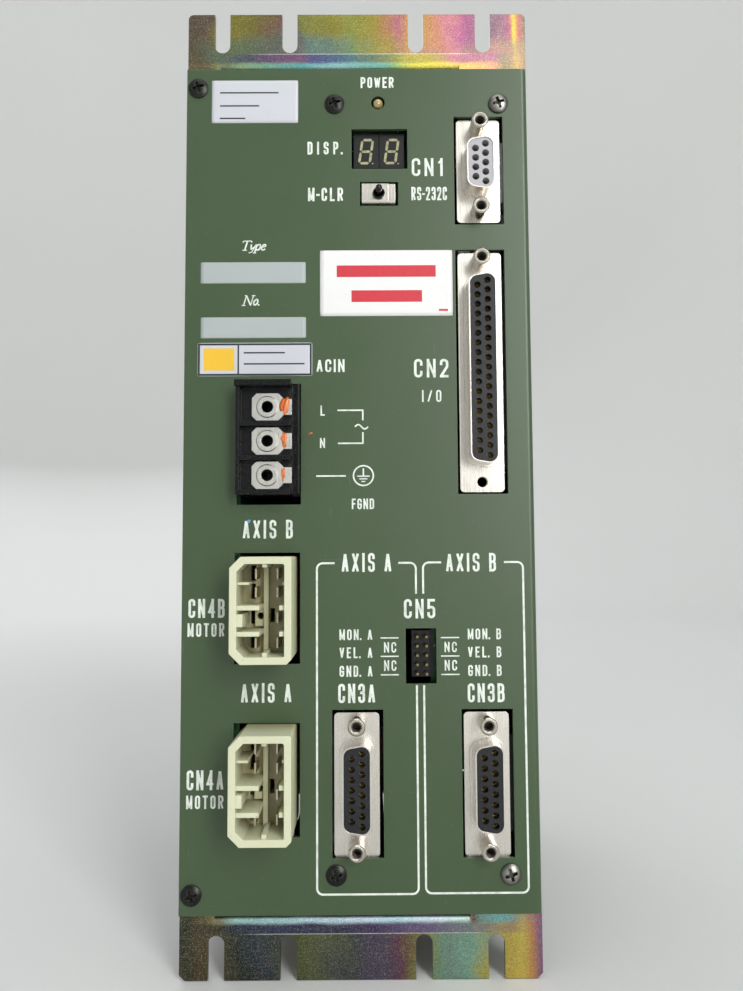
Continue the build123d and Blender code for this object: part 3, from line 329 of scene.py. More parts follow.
# the box itself, behind the panel
t = g.math("ADD", g.math("MULTIPLY", cloud, 2.2), g.math("MULTIPLY", cloud2, 0.5))
t = g.math("FRACT", g.math("ADD", t, g.math("MULTIPLY", y, 9.0)))
box = g.ramp(t, [(0.00, srgb(172, 160, 80)), (0.22, srgb(186, 150, 100)), (0.42, srgb(176, 128, 140)), (0.60, srgb(120, 128, 150)),
                 (0.80, srgb(130, 160, 130)), (1.00, srgb(172, 160, 80))])
behind = g.fit(y, 0.0006, 0.0030, 0.0, 1.0, True)
col = g.mix(behind, col, g.mix(0.35, box, srgb(176, 170, 140)))
streak = g.noise(1.0, 2.0, 0.55, vec=g.vec((5200, 300, 110)))
rolled = g.noise(1.0, 2.0, 0.5, vec=g.vec((90, 90, 5200)))
line_k = g.mix(upper, (0, 0, 0, 1), (1, 1, 1, 1))
col = g.mix(g.fit(grain, 0.34, 0.66, 0.50, 0.0), col, (0.06, 0.06, 0.05, 1))
glint = g.noise(5200.0, 2.0, 0.6, vec=g.vec((1, 1, 1), loc=(0.2, 0.1, 0.3)))
col = g.mix(g.fit(glint, 0.56, 0.74, 0.0, 0.55), col, srgb(236, 232, 196))
col = g.mix(g.fit(rolled, 0.60, 0.82, 0.0, 0.30), col, srgb(206, 202, 180))
col = g.mix(g.fit(streak, 0.66, 0.84, 0.0, 0.35), col, srgb(196, 190, 172))
rim = g.math("MULTIPLY", g.edge(0.00022, 6), g.fit(grain, 0.3, 0.7, 0.35, 0.95))
col = g.mix(rim, col, srgb(122, 118, 96))
g.to("Base Color", col)
g.to("Roughness", g.math("ADD", g.fit(grain, 0.2, 0.8, 0.30, 0.44), g.fit(cloud2, 0.3, 0.7, -0.04, 0.04)))
g.to("Normal", g.bump(g.math("ADD", grain, g.math("MULTIPLY", rolled, 0.6)), 0.34, 0.00006, g.round_edges(0.00018)))
CHROMATE = g


def metal(name, a, b, rough, scratch_scale=(2600, 2600, 120), grain_k=0.12, edges=0.00012, dark=0.25, bump=0.10):
    """Plated metal: two tones, fine scratches, a little tarnish."""
    g = Graph(name, Metallic=1.0)
    tone = g.mix(g.noise(160.0, 3.0, 0.55), a, b)
    line = g.noise(1.0, 2.0, 0.55, vec=g.vec(scratch_scale))
    tone = g.mix(g.fit(line, 0.55, 0.85, 0.0, dark), tone, tuple(v * 0.45 for v in a[:3]) + (1,))
    pit = g.noise(5200.0, 2.0, 0.6)
    tone = g.mix(g.fit(pit, 0.58, 0.75, 0.0, grain_k), tone, tuple(v * 0.35 for v in a[:3]) + (1,))
    g.to("Base Color", tone)
    g.to("Roughness", g.math("ADD", g.fit(line, 0.3, 0.7, rough - 0.05, rough + 0.06), g.fit(pit, 0.3, 0.7, -0.03, 0.05)))
    g.to("Normal", g.bump(g.math("ADD", line, g.math("MULTIPLY", pit, 0.5)), bump, 0.00004, g.round_edges(edges)))
    return g


NICKEL = metal("bright_nickel", (0.80, 0.765, 0.71, 1), (0.70, 0.655, 0.59, 1), 0.26)
POSTS = metal("jack_post_nickel", (0.62, 0.585, 0.52, 1), (0.48, 0.44, 0.37, 1), 0.20, (900, 120, 900))
CLAMP = metal("clamp_plate_nickel", (0.80, 0.79, 0.75, 1), (0.66, 0.64, 0.59, 1), 0.30, (1500, 1500, 300), 0.3)
# tin plate darkened to a brown tan: painted shade, for blades that sit back in their housings
TIN_PAINTED_SHADE = metal("tin_plate_painted_shade", (0.60, 0.55, 0.42, 1), (0.46, 0.40, 0.27, 1), 0.32)
GOLD = metal("gold_flash", (0.34, 0.26, 0.12, 1), (0.22, 0.16, 0.07, 1), 0.30)
BRASSY = metal("plated_brass", (0.72, 0.68, 0.58, 1), (0.62, 0.57, 0.45, 1), 0.30)
ZINC = metal("zinc_screw", (0.74, 0.74, 0.71, 1), (0.62, 0.61, 0.57, 1), 0.30, (900, 900, 900), 0.25)
ALU = metal("extruded_aluminium", (0.74, 0.75, 0.76, 1), (0.66, 0.67, 0.68, 1), 0.36, (2600, 2600, 14), 0.15, 0.00025, 0.35, 0.2)


def plastic(name, a, b, rough, tex=1600.0, strength=0.10, edges=0.0002, dust=0.0, ior=1.5, **extra):
    """Moulded plastic: slight mottling, moulded texture, dust in patches."""
    g = Graph(name, Metallic=0.0, IOR=ior, **extra)
    tone = g.mix(g.noise(75.0, 3.0, 0.55), a, b)
    fine = g.noise(tex, 3.0, 0.55)
    if dust:
        fleck = g.math("MULTIPLY", g.fit(g.noise(2600.0, 2.0), 0.64, 0.74, 0, 1), g.fit(g.noise(120.0, 2.0), 0.45, 0.7, 0, dust))
        tone = g.mix(fleck, tone, (0.35, 0.34, 0.31, 1))
    g.to("Base Color", tone)
    g.to("Roughness", g.math("ADD", g.fit(fine, 0.3, 0.7, rough - 0.05, rough + 0.06), g.fit(g.noise(50.0, 3.0), 0.3, 0.7, -0.04, 0.04)))
    g.to("Normal", g.bump(fine, strength, 0.00005, g.round_edges(edges)))
    return g


BLACK = plastic("black_moulding", (0.0050, 0.0052, 0.0058, 1), (0.0080, 0.0083, 0.0090, 1), 0.40, dust=0.35, Specular_IOR_Level=0.35)
PHENOLIC = plastic("black_phenolic", (0.0016, 0.0020, 0.0024, 1), (0.0036, 0.0040, 0.0046, 1), 0.30, 900.0, 0.14, 0.0003, dust=0.5, Specular_IOR_Level=0.30)
CHIP = plastic("chip_epoxy", (0.020, 0.020, 0.021, 1), (0.030, 0.030, 0.031, 1), 0.52, 3200.0, 0.2)
INSULATOR = plastic("dark_insulator", (0.0075, 0.0085, 0.0115, 1), (0.0130, 0.0145, 0.0185, 1), 0.46, 1400.0, 0.12, 0.00012, dust=0.5, Specular_IOR_Level=0.35)
GREY = plastic("pale_insulator", srgb(178, 178, 182), srgb(160, 160, 165), 0.42, 1400.0, 0.12, 0.00012, dust=0.3)
TAPE = plastic("yellow_tape", (0.62, 0.46, 0.07, 1), (0.54, 0.38, 0.05, 1), 0.25, 260.0, 0.2)
FERRITE = plastic("ferrite_grey", (0.045, 0.045, 0.048, 1), (0.07, 0.07, 0.072, 1), 0.6, 2600.0, 0.3)
PAD = plastic("thermal_pad", (0.33, 0.35, 0.38, 1), (0.40, 0.42, 0.45, 1), 0.7, 2600.0, 0.3)
SLEEVE = plastic("capacitor_sleeve", (0.018, 0.024, 0.07, 1), (0.026, 0.034, 0.09, 1), 0.22, 500.0, 0.05)
LEVER = plastic("polished_black", (0.003, 0.003, 0.0035, 1), (0.006, 0.006, 0.0065, 1), 0.18, 1200.0, 0.03, 0.00012)

# ivory nylon
g = Graph("ivory_nylon", Metallic=0.0, IOR=1.5, Subsurface_Weight=0.18, Subsurface_Scale=0.0012, Subsurface_Radius=(1.0, 0.8, 0.45))
tone = g.mix(g.noise(90.0, 3.0, 0.5), srgb(212, 214, 186), srgb(203, 205, 173))
x, y, z = g.xyz()
# painted shade: the housing darkens towards the panel, where it meets it
deep_shade = g.fit(y, -0.0140, -0.0010, 0.0, 0.85, True)
tone = g.mix(deep_shade, tone, srgb(158, 150, 104))
spot = g.math("MULTIPLY", g.fit(g.noise(1500.0, 2.0), 0.68, 0.76, 0, 1), 0.5)
tone = g.mix(spot, tone, srgb(120, 108, 74))
g.to("Base Color", tone)
g.to("Roughness", g.fit(g.noise(600.0, 3.0), 0.3, 0.7, 0.38, 0.50))
g.to("Normal", g.bump(g.noise(1200.0, 3.0), 0.10, 0.00005, g.round_edges(0.00035)))
IVORY = g

# black oxide screws, worn bright on their edges; the two on the right are plated
g = Graph("screw_finish")
x, y, z = g.xyz()
plated = g.math("GREATER_THAN", x, 0.02)
wear = g.math("MULTIPLY", g.edge(0.00022, 6), g.fit(g.noise(2400.0, 3.0), 0.35, 0.65, 0.25, 0.95))
blacked = g.mix(g.noise(700.0, 3.0), (0.012, 0.013, 0.012, 1), (0.028, 0.030, 0.026, 1))
blacked = g.mix(wear, blacked, (0.17, 0.17, 0.155, 1))
bright = g.mix(g.noise(900.0, 3.0), (0.70, 0.69, 0.64, 1), (0.50, 0.48, 0.42, 1))
# painted shade: the plated screws turn near black further back, on their deeper parts
deep_shade = g.fit(y, -0.0044, -0.0034, 0.0, 1.0)
bright = g.mix(g.math("MULTIPLY", deep_shade, 0.9), bright, (0.05, 0.05, 0.045, 1))
g.to("Base Color", g.mix(plated, blacked, bright))
g.to("Metallic", g.fit(plated, 0, 1, 0.75, 1.0))
g.to("Roughness", g.fit(g.noise(1800.0, 2.0), 0.3, 0.7, 0.26, 0.40))
g.to("Normal", g.bump(g.noise(2200.0, 2.0), 0.15, 0.00004, g.round_edges(0.00018)))
SCREW = g

# printed circuit boards: solder mask with tracks and vias
g = Graph("solder_mask", Metallic=0.0, IOR=1.5)
cells = g.voronoi(260.0, g.vec((1, 1, 0.35)), "DISTANCE_TO_EDGE")
tracks = g.fit(cells, 0.03, 0.06, 1.0, 0.0)
base = g.mix(g.noise(120.0, 3.0), (0.010, 0.060, 0.022, 1), (0.014, 0.080, 0.030, 1))
base = g.mix(g.math("MULTIPLY", tracks, 0.6), base, (0.030, 0.150, 0.055, 1))
vias = g.fit(g.voronoi(420.0), 0.10, 0.13, 1.0, 0.0)
base = g.mix(vias, base, (0.55, 0.52, 0.42, 1))
g.to("Base Color", base)
g.to("Roughness", g.fit(vias, 0, 1, 0.32, 0.22))
g.to("Normal", g.bump(g.math("ADD", tracks, vias), 0.25, 0.00006))
BOARD = g

# lamp: cloudy epoxy with its lead frame showing through
g = Graph("lamp_epoxy", Metallic=0.0, IOR=1.52, Coat_Weight=1.0, Coat_Roughness=0.06)
mott = g.noise(1500.0, 3.0, 0.6, 0.8)
g.to("Base Color", g.ramp(mott, [(0.30, srgb(88, 76, 44)), (0.48, srgb(166, 146, 92)), (0.70, srgb(212, 196, 146))]))
g.to("Roughness", g.fit(mott, 0.3, 0.7, 0.18, 0.34))
LAMP = g

# fuse glass
g = Graph("fuse_glass", Metallic=0.0, IOR=1.5)
ends = g.noise(300.0, 2.0)
g.to("Base Color", g.mix(ends, (0.62, 0.64, 0.60, 1), (0.55, 0.58, 0.55, 1)))
g.to("Roughness", g.fit(ends, 0, 1, 0.06, 0.14))
FUSE = g

paint(["chassis"], CHROMATE)
paint(["front_cover"], GREEN)
paint(["heat_sink"], ALU)
paint(["corner_screws", "bracket_screws"], SCREW)
paint(["heat_sink_screws", "cover_screws", "board_screws"], ZINC)
paint(["power_board", "axis_a_board", "axis_b_board", "processor_board", "display_board", "backplane_board"], BOARD)
paint(["backplane_sockets", "display_link", "toggle_body", "inrush_relay", "monitor_header_body", "display_digits"], BLACK)
paint(["terminal_block"], PHENOLIC)
paint(["axis_a_chips", "axis_b_chips", "processor_chips", "power_modules", "bridge_rectifier"], CHIP)
paint(["backplane_standoffs", "power_standoffs", "board_brackets"], BRASSY)
paint(["serial_connector_shell", "io_connector_shell", "encoder_a_connector_shell", "encoder_b_connector_shell",
       "toggle_bracket"], NICKEL)
paint(["jack_posts", "jack_nuts", "fuse_clips"], POSTS)
paint(["terminal_plates"], CLAMP)
paint(["serial_connector_insulator"], GREY)
paint(["io_connector_insulator", "encoder_a_connector_insulator", "encoder_b_connector_insulator"], INSULATOR)
paint(["serial_connector_contacts", "io_connector_contacts", "encoder_a_connector_contacts",
       "encoder_b_connector_contacts", "monitor_header_pins"], GOLD)
paint(["motor_a_blades", "motor_b_blades"], TIN_PAINTED_SHADE)
paint(["motor_a_housing", "motor_b_housing"], IVORY)
paint(["power_lamp"], LAMP)
paint(["toggle_lever", "toggle_bushing"], LEVER)
paint(["bus_capacitors"], SLEEVE)
paint(["transformer_core", "line_choke"], FERRITE)
paint(["transformer_bobbin"], TAPE)
paint(["thermal_pads"], PAD)
paint(["fuse"], FUSE)


# ------------------------------------------------------------------ mesh builder
class Solid:
    """Collects closed prisms that lie on the panel, and makes one object of them."""

    def __init__(self):
        self.v, self.f = [], []
        self.n = 0

    def strip(self, pts, width, y_front, y_back, closed=False):
        """A ribbon along (x, z) points, with mitred corners, as a closed prism."""
        self.n += 1
        y_front = y_front - 0.0004 * (self.n % 12)
        n = len(pts)
        left, rightp = [], []
        for i in range(n):
            p = pts[i]
            a = pts[i - 1] if (i > 0 or closed) else None
            b = pts[(i + 1) % n] if (i < n - 1 or closed) else None
            da = (p - a).normalized() if a is not None else None
            db = (b - p).normalized() if b is not None else None
            if da is None:
                da = db
            if db is None:
                db = da
            na, nb = Vector((-da.y, da.x)), Vector((-db.y, db.x))
            m = na + nb
            if m.length < 1e-6:
                m = na
            m.normalize()
            k = min(1.0 / max(m.dot(na), 0.2), 3.0) * width / 2
            left.append(p + m * k)
            rightp.append(p - m * k)
        base = len(self.v)
        for yy in (y_front, y_back):
            for q in left:
                self.v.append(at(q.x, yy, q.y))
            for q in rightp:
                self.v.append(at(q.x, yy, q.y))
        L, R, L2, R2 = base, base + n, base + 2 * n, base + 3 * n
        count = n if closed else n - 1
        for i in range(count):
            j = (i + 1) % n
            self.f.append((L + i, R + i, R + j, L + j))
            self.f.append((L2 + i, L2 + j, R2 + j, R2 + i))
            self.f.append((L + i, L + j, L2 + j, L2 + i))
            self.f.append((R + i, R2 + i, R2 + j, R + j))
        if not closed:
            self.f.append((L, L2, R2, R))
            e = n - 1
            self.f.append((L + e, R + e, R2 + e, L2 + e))

    def plate(self, pts, y_front, y_back):
        """A closed prism over a polygon of (x, z) points."""
        self.n += 1
        y_front = y_front - 0.0004 * (self.n % 12)
        base, n = len(self.v), len(pts)
        for yy in (y_front, y_back):
            for q in pts:
                self.v.append(at(q[0], yy, q[1]))
        self.f.append(tuple(base + i for i in range(n)))
        self.f.append(tuple(base + n + i for i in reversed(range(n))))
        for i in range(n):
            j = (i + 1) % n
            self.f.append((base + i, base + n + i, base + n + j, base + j))

    def make(self, name, graph, body="driver", smooth=False):
        me = bpy.data.meshes.new(name)
        me.from_pydata([tuple(v) for v in self.v], [], self.f)
        bm = bmesh.new()
        bm.from_mesh(me)
        bmesh.ops.recalc_face_normals(bm, faces=bm.faces)
        bm.to_mesh(me)
        bm.free()
        for p in me.polygons:
            p.use_smooth = smooth
        me.materials.append(graph.m)
        o = bpy.data.objects.new(name, me)
        scene.collection.objects.link(o)
        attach(o, body)
        return o


def rounded(points, radius, closed=False, steps=5):
    """Points with round corners: each is (x, z) or (x, z, k) with k times the radius."""
    pts = [(Vector((p[0], p[1])), (p[2] if len(p) > 2 else 0.0) * radius) for p in points]
    n, out = len(pts), []
    for i, (p, r) in enumerate(pts):
        if r <= 0 or (not closed and i in (0, n - 1)):
            out.append(p)
            continue
        a, b = pts[i - 1][0], pts[(i + 1) % n][0]
        u, w = (a - p), (b - p)
        la, lb = u.length, w.length
        u, w = u / la, w / lb
        ang = math.acos(max(-1, min(1, u.dot(w))))
        d = min(r / math.tan(ang / 2), 0.5 * la, 0.5 * lb)
        p0, p1 = p + u * d, p + w * d
        rr = d * math.tan(ang / 2)
        bis = (u + w).normalized()
        c = p + bis * (rr / math.sin(ang / 2))
        v0, v1 = p0 - c, p1 - c
        sweep = v0.angle_signed(v1) if v0.length > 1e-9 else 0
        for s in range(steps + 1):
            th = -sweep * s / steps
            q = Vector((v0.x * math.cos(th) - v0.y * math.sin(th), v0.x * math.sin(th) + v0.y * math.cos(th)))
            out.append(c + q)
    clean = [out[0]]
    for q in out[1:]:
        if (q - clean[-1]).length > 1e-5:
            clean.append(q)
    if closed and (clean[0] - clean[-1]).length < 1e-5:
        clean.pop()
    return clean


# ------------------------------------------------------------------ stroke lettering
# Each glyph: width factor, then strokes in a unit box. A third number rounds that corner.
R_ = 1.0
THIN = 0.80
GLYPHS = {
    "A": (1.06, [[(0.02, 0), (0.47, 0.97)], [(0.53, 0.97), (0.98, 0)], [(0.20, 0.30), (0.80, 0.30), THIN]]),
    "B": (1.0, [[(0, 0), (0, 1)], [(0, 1), (0.95, 1, R_), (0.95, 0.53, R_), (0, 0.53)],
                [(0, 0.53), (1, 0.53, R_), (1, 0, R_), (0, 0)]]),
    "C": (1.0, [[(1, 0.74), (1, 1, R_), (0, 1, R_), (0, 0, R_), (1, 0, R_), (1, 0.26)]]),
    "D": (1.0, [[(0, 0), (0, 1)], [(0, 1), (1, 1, R_), (1, 0, R_), (0, 0)]]),
    "E": (0.86, [[(1, 1), (0, 1), (0, 0), (1, 0)], [(0, 0.52), (0.78, 0.52)]]),
    "F": (0.84, [[(1, 1), (0, 1), (0, 0)], [(0, 0.52), (0.78, 0.52)]]),
    "G": (1.0, [[(1, 0.76), (1, 1, R_), (0, 1, R_), (0, 0, R_), (1, 0, R_), (1, 0.46), (0.62, 0.46)]]),
    "I": (0.0, [[(0.5, 0), (0.5, 1)]]),
    "L": (0.80, [[(0, 1), (0, 0), (1, 0)]]),
    "M": (1.30, [[(0, 0), (0, 1)], [(0.05, 0.98), (0.5, 0.06), 0.68], [(0.5, 0.06), (0.95, 0.98), 0.68], [(1, 1), (1, 0)]]),
    "N": (1.06, [[(0, 0), (0, 1)], [(0.03, 0.99), (0.97, 0.01), 0.85], [(1, 1), (1, 0)]]),
    "O": (1.0, [[(0, 0, R_), (1, 0, R_), (1, 1, R_), (0, 1, R_), "closed"]]),
    "P": (1.0, [[(0, 0), (0, 1)], [(0, 1), (1, 1, R_), (1, 0.46, R_), (0, 0.46)]]),
    "R": (1.02, [[(0, 0), (0, 1)], [(0, 1), (1, 1, R_), (1, 0.50, R_), (0, 0.50)], [(0.5, 0.50), (1, 0)]]),
    "S": (1.0, [[(1, 0.78), (1, 1, R_), (0, 1, R_), (0, 0.56, R_), (1, 0.46, R_), (1, 0, R_), (0, 0, R_), (0, 0.22)]]),
    "T": (0.96, [[(0, 1), (1, 1)], [(0.5, 0.98), (0.5, 0)]]),
    "V": (1.06, [[(0.02, 1), (0.47, 0.03)], [(0.53, 0.03), (0.98, 1)]]),
    "W": (1.55, [[(0, 1), (0.25, 0.02), 0.75], [(0.25, 0.02), (0.5, 0.92), 0.75], [(0.5, 0.92), (0.75, 0.02), 0.75], [(0.75, 0.02), (1, 1), 0.75]]),
    "X": (1.06, [[(0, 0), (1, 1)], [(0, 1), (1, 0)]]),
    "1": (0.42, [[(1.0, 0), (1.0, 1)], [(0.95, 0.93), (0.0, 0.79), 0.8]]),
    "2": (1.0, [[(0, 0.76), (0, 1, R_), (1, 1, R_), (1, 0.60, 0.8), (0, 0.02)], [(0, 0), (1, 0)]]),
    "3": (1.0, [[(0, 0.78), (0, 1, R_), (0.97, 1, R_), (0.97, 0.53, R_), (0.46, 0.53)],
                [(0.46, 0.53), (1, 0.53, R_), (1, 0, R_), (0, 0, R_), (0, 0.22)]]),
    "4": (1.06, [[(0.76, 0), (0.76, 1)], [(0.72, 0.96), (0.02, 0.30), 0.8], [(0, 0.27), (1, 0.27), 0.85]]),
    "5": (1.0, [[(0.95, 1), (0.04, 1)], [(0.04, 1), (0.0, 0.52)], [(0.0, 0.58), (1, 0.60, R_), (1, 0, R_), (0, 0, R_), (0, 0.22)]]),
    "-": (0.55, [[(0.1, 0.46), (0.9, 0.46)]]),
    "/": (0.9, [[(0, 0), (1, 1)]]),
    ".": (0.0, [[(0.5, 0.0), (0.5, 0.025)]]),
    " ": (0.10, []),
}


def letter(solid, text, x0, x1, z0, z1, gap=0.45, weight=0.135, y=-0.022):
    h = z1 - z0
    s = weight * h
    # widths: each letter s + f (u - s), each gap k u
    gaps = [0.55 if text[i + 1] in ".-" or text[i] == "-" else 1.0 for i in range(len(text) - 1)]
    fs = sum(GLYPHS[c][0] for c in text)
    n = len(text)
    u = ((x1 - x0) - n * s + fs * s) / (fs + gap * sum(gaps))
    cx = x0
    for i, c in enumerate(text):
        f, strokes = GLYPHS[c]
        w = s + f * (u - s)
        for st in strokes:
            closed = st[-1] == "closed"
            k = st[-1] if isinstance(st[-1], float) else 1.0
            pts = [p for p in st if isinstance(p, tuple)]
            sx, sz = max(w - s, 1e-4), h - s
            real = [[cx + s / 2 + p[0] * sx, z0 + s / 2 + p[1] * sz, *(p[2:3])] for p in pts]
            if not closed:
                for a, b in ((0, 1), (-1, -2)):
                    d = Vector((real[a][0] - real[b][0], real[a][1] - real[b][1]))
                    straight = abs(d.x) < 1e-3 * h or abs(d.y) < 1e-3 * h
                    d = d.normalized() * (s / 2 * (1.0 if straight else 0.55))
                    real[a][0] += d.x
                    real[a][1] += d.y
            radius = min(0.5 * sx, 0.25 * sz)
            solid.strip(rounded([tuple(r) for r in real], radius, closed), s * k, y, 0.01, closed)
        if i < n - 1:
            cx += w + gap * u * gaps[i]


white = Graph("white_ink", Metallic=0.0, IOR=1.46)
patchy = white.noise(420.0, 3.0, 0.6)
white.to("Base Color", white.ramp(patchy, [(0.28, srgb(192, 202, 190)), (0.60, srgb(228, 234, 226))]))
white.to("Roughness", white.fit(patchy, 0.3, 0.7, 0.40, 0.55))
white.to("Normal", white.bump(white.noise(2600.0, 2.0), 0.15, 0.00003))

ink = Solid()
LEGENDS = [
    ("POWER", 50.51, 60.14, 233.28, 236.58, 0.40, 0.16),
    ("DISP.", 35.03, 45.23, 213.34, 217.15, 0.90, 0.15),
    ("M-CLR", 35.17, 45.28, 199.43, 203.41, 0.52, 0.15),
    ("CN1", 65.19, 74.17, 206.79, 212.13, 0.50, 0.135),
    ("RS-232C", 65.03, 75.29, 199.59, 203.57, 0.34, 0.125),
    ("CN2", 65.32, 75.11, 147.78, 153.14, 0.50, 0.135),
    ("I/O", 67.52, 73.0, 140.74, 144.18, 0.75, 0.13),
    ("ACIN", 37.56, 45.55, 149.46, 153.15, 0.40, 0.15),
    ("L", 38.70, 39.90, 136.96, 139.88, 0.4, 0.14),
    ("N", 38.55, 39.97, 127.75, 130.60, 0.4, 0.14),
    ("FGND", 47.47, 53.74, 110.39, 113.37, 0.36, 0.145),
    ("AXIS B", 16.86, 30.9, 102.28, 107.52, 0.50, 0.13),
    ("CN4B", 1.89, 11.97, 80.33, 85.59, 0.42, 0.135),
    ("MOTOR", 1.68, 11.9, 75.13, 78.87, 0.50, 0.145),
    ("AXIS A", 16.61, 30.57, 56.96, 62.33, 0.50, 0.13),
    ("CN4A", 1.84, 11.94, 33.45, 38.8, 0.42, 0.135),
    ("MOTOR", 1.77, 11.98, 28.42, 32.03, 0.50, 0.145),
    ("AXIS A", 44.56, 58.46, 92.8, 98.1, 0.50, 0.13),
    ("AXIS B", 73.75, 87.75, 92.75, 97.94, 0.50, 0.13),
    ("CN5", 61.88, 70.61, 79.85, 85.22, 0.46, 0.135),
    ("NC", 56.26, 59.65, 70.50, 73.34, 0.50, 0.14),
    ("NC", 73.08, 76.5, 70.50, 73.34, 0.50, 0.14),
    ("NC", 56.26, 59.65, 65.46, 68.36, 0.50, 0.14),
    ("NC", 73.08, 76.5, 65.46, 68.36, 0.50, 0.14),
    ("MON. A", 43.89, 53.03, 73.97, 76.94, 0.46, 0.15),
    ("VEL. A", 43.89, 53.03, 69.0, 71.99, 0.56, 0.15),
    ("GND. A", 43.89, 53.03, 63.9, 66.94, 0.50, 0.15),
    ("MON. B", 79.58, 88.85, 73.97, 76.94, 0.46, 0.15),
    ("VEL. B", 79.58, 88.85, 69.0, 71.99, 0.56, 0.15),
    ("GND. B", 79.58, 88.85, 63.9, 66.94, 0.50, 0.15),
    ("CN3A", 43.51, 53.75, 56.75, 62.01, 0.42, 0.135),
    ("CN3B", 79.36, 89.55, 56.74, 61.9, 0.42, 0.135),
]
for text, x0, x1, z0, z1, gap, weight in LEGENDS:
    letter(ink, text, x0, x1, z0, z1, gap, weight)


def slanted(solid, text, x0, z0, h, width, spread=1.0):
    """Upright-stress italic captions, thick and thin strokes with small serifs."""
    thick, thin, slope = 0.150 * h, 0.055 * h, 0.30
    forms = {
        "T": (0.80, [("k", [(0.42, 0), (0.42, 1)]), ("t", [(0.02, 0.80), (0.03, 0.97), (0.86, 0.97), (0.86, 0.80)]), ("t", [(0.20, 0.02), (0.64, 0.02)])]),
        "N": (0.95, [("t", [(0.14, 0.02), (0.14, 0.98)]), ("k", [(0.16, 0.94), (0.80, 0.06)]), ("t", [(0.82, 0), (0.82, 0.97)]),
                     ("t", [(-0.04, 0.02), (0.32, 0.02)]), ("t", [(-0.02, 0.97), (0.20, 0.97)]), ("t", [(0.66, 0.97), (1.0, 0.97)])]),
        "y": (0.55, [("k", [(0.10, 0.62), (0.22, 0.10)]), ("t", [(0.22, 0.08), (0.52, 0.42), (0.56, 0.60)]), ("t", [(0.54, 0.5), (0.38, -0.16), (0.10, -0.26)])]),
        "p": (0.58, [("k", [(0.12, 0.62), (0.12, -0.26)]), ("t", [(-0.04, -0.26), (0.28, -0.26)]),
                     ("k", [(0.14, 0.50), (0.34, 0.64), (0.50, 0.50), (0.50, 0.16), (0.34, 0.02), (0.14, 0.10)])]),
        "e": (0.50, [("t", [(0.10, 0.32), (0.44, 0.40)]), ("k", [(0.44, 0.42), (0.36, 0.62), (0.16, 0.56), (0.06, 0.30), (0.14, 0.06), (0.34, 0.03), (0.46, 0.16)])]),
        "o": (0.54, [("k", [(0.30, 0.64), (0.10, 0.44), (0.10, 0.20), (0.26, 0.02), (0.46, 0.20), (0.46, 0.46), (0.32, 0.64)])]),
        ".": (0.20, [("k", [(0.10, 0.0), (0.10, 0.13)])]),
    }
    total = sum(forms[c][0] for c in text)
    k = width / total
    cx = x0
    for c in text:
        f, strokes = forms[c]
        for kind, pts in strokes:
            real = [(cx + p[0] * k + slope * p[1] * h, z0 + p[1] * h, 0.6) for p in pts]
            solid.strip(rounded(real, 0.25 * h), thick if kind == "k" else thin + 0.04 * h, -0.022, 0.01)
        cx += f * k


slanted(ink, "Type", 15.75, 184.95, 2.85, 7.1)
slanted(ink, "No.", 16.3, 168.8, 3.0, 5.0)


def line(solid, pts, w, radius=0.0, closed=False, y=-0.022):
    solid.strip(rounded(pts, radius, closed), w, y, 0.01, closed)


# supply brackets, tilde, ground line and earth sign
for a, b, c in ((138.47, 43.49, 135.58), (129.05, 43.62, 132.19)):
    line(ink, [(b, a), (50.68, a), (50.68, c)], 0.42)
line(ink, [(50.3 - 1.85 + 3.7 * i / 18, 133.75 + 0.62 * math.sin(2 * math.pi * i / 18)) for i in range(19)], 0.42)
line(ink, [(37.47, 119.8), (45.84, 119.8)], 0.42)
line(ink, [(50.77 + 2.8 * math.cos(a * math.pi / 18), 119.87 + 2.8 * math.sin(a * math.pi / 18)) for a in range(36)], 0.42, closed=True)
line(ink, [(50.77, 121.9), (50.77, 119.75)], 0.40)
for k, half in enumerate((1.75, 1.15, 0.55)):
    line(ink, [(50.77 - half, 119.7 - 0.75 * k), (50.77 + half, 119.7 - 0.75 * k)], 0.34)
for z in (74.52, 69.45, 64.39):
    line(ink, [(55.33, z), (60.33, z)], 0.34)
    line(ink, [(72.08, z), (77.19, z)], 0.34)
# axis frames, rounded at the corners, open beside their titles and the monitor socket
W = 0.55
line(ink, [(42.6, 95.3), (37.64, 95.3, 1), (37.64, 5.45, 1), (65.3, 5.45, 1), (65.3, 61.5)], W, 1.6)
line(ink, [(65.3, 86.7), (65.3, 95.3, 1), (60.4, 95.3)], W, 1.6)
line(ink, [(72.4, 95.37), (67.3, 95.37, 1), (67.3, 86.7)], W, 1.6)
line(ink, [(67.3, 61.5), (67.3, 5.59, 1), (95.3, 5.59, 1), (95.3, 95.37, 1), (90.0, 95.37)], W, 1.6)
ink.make("panel_legends", white)


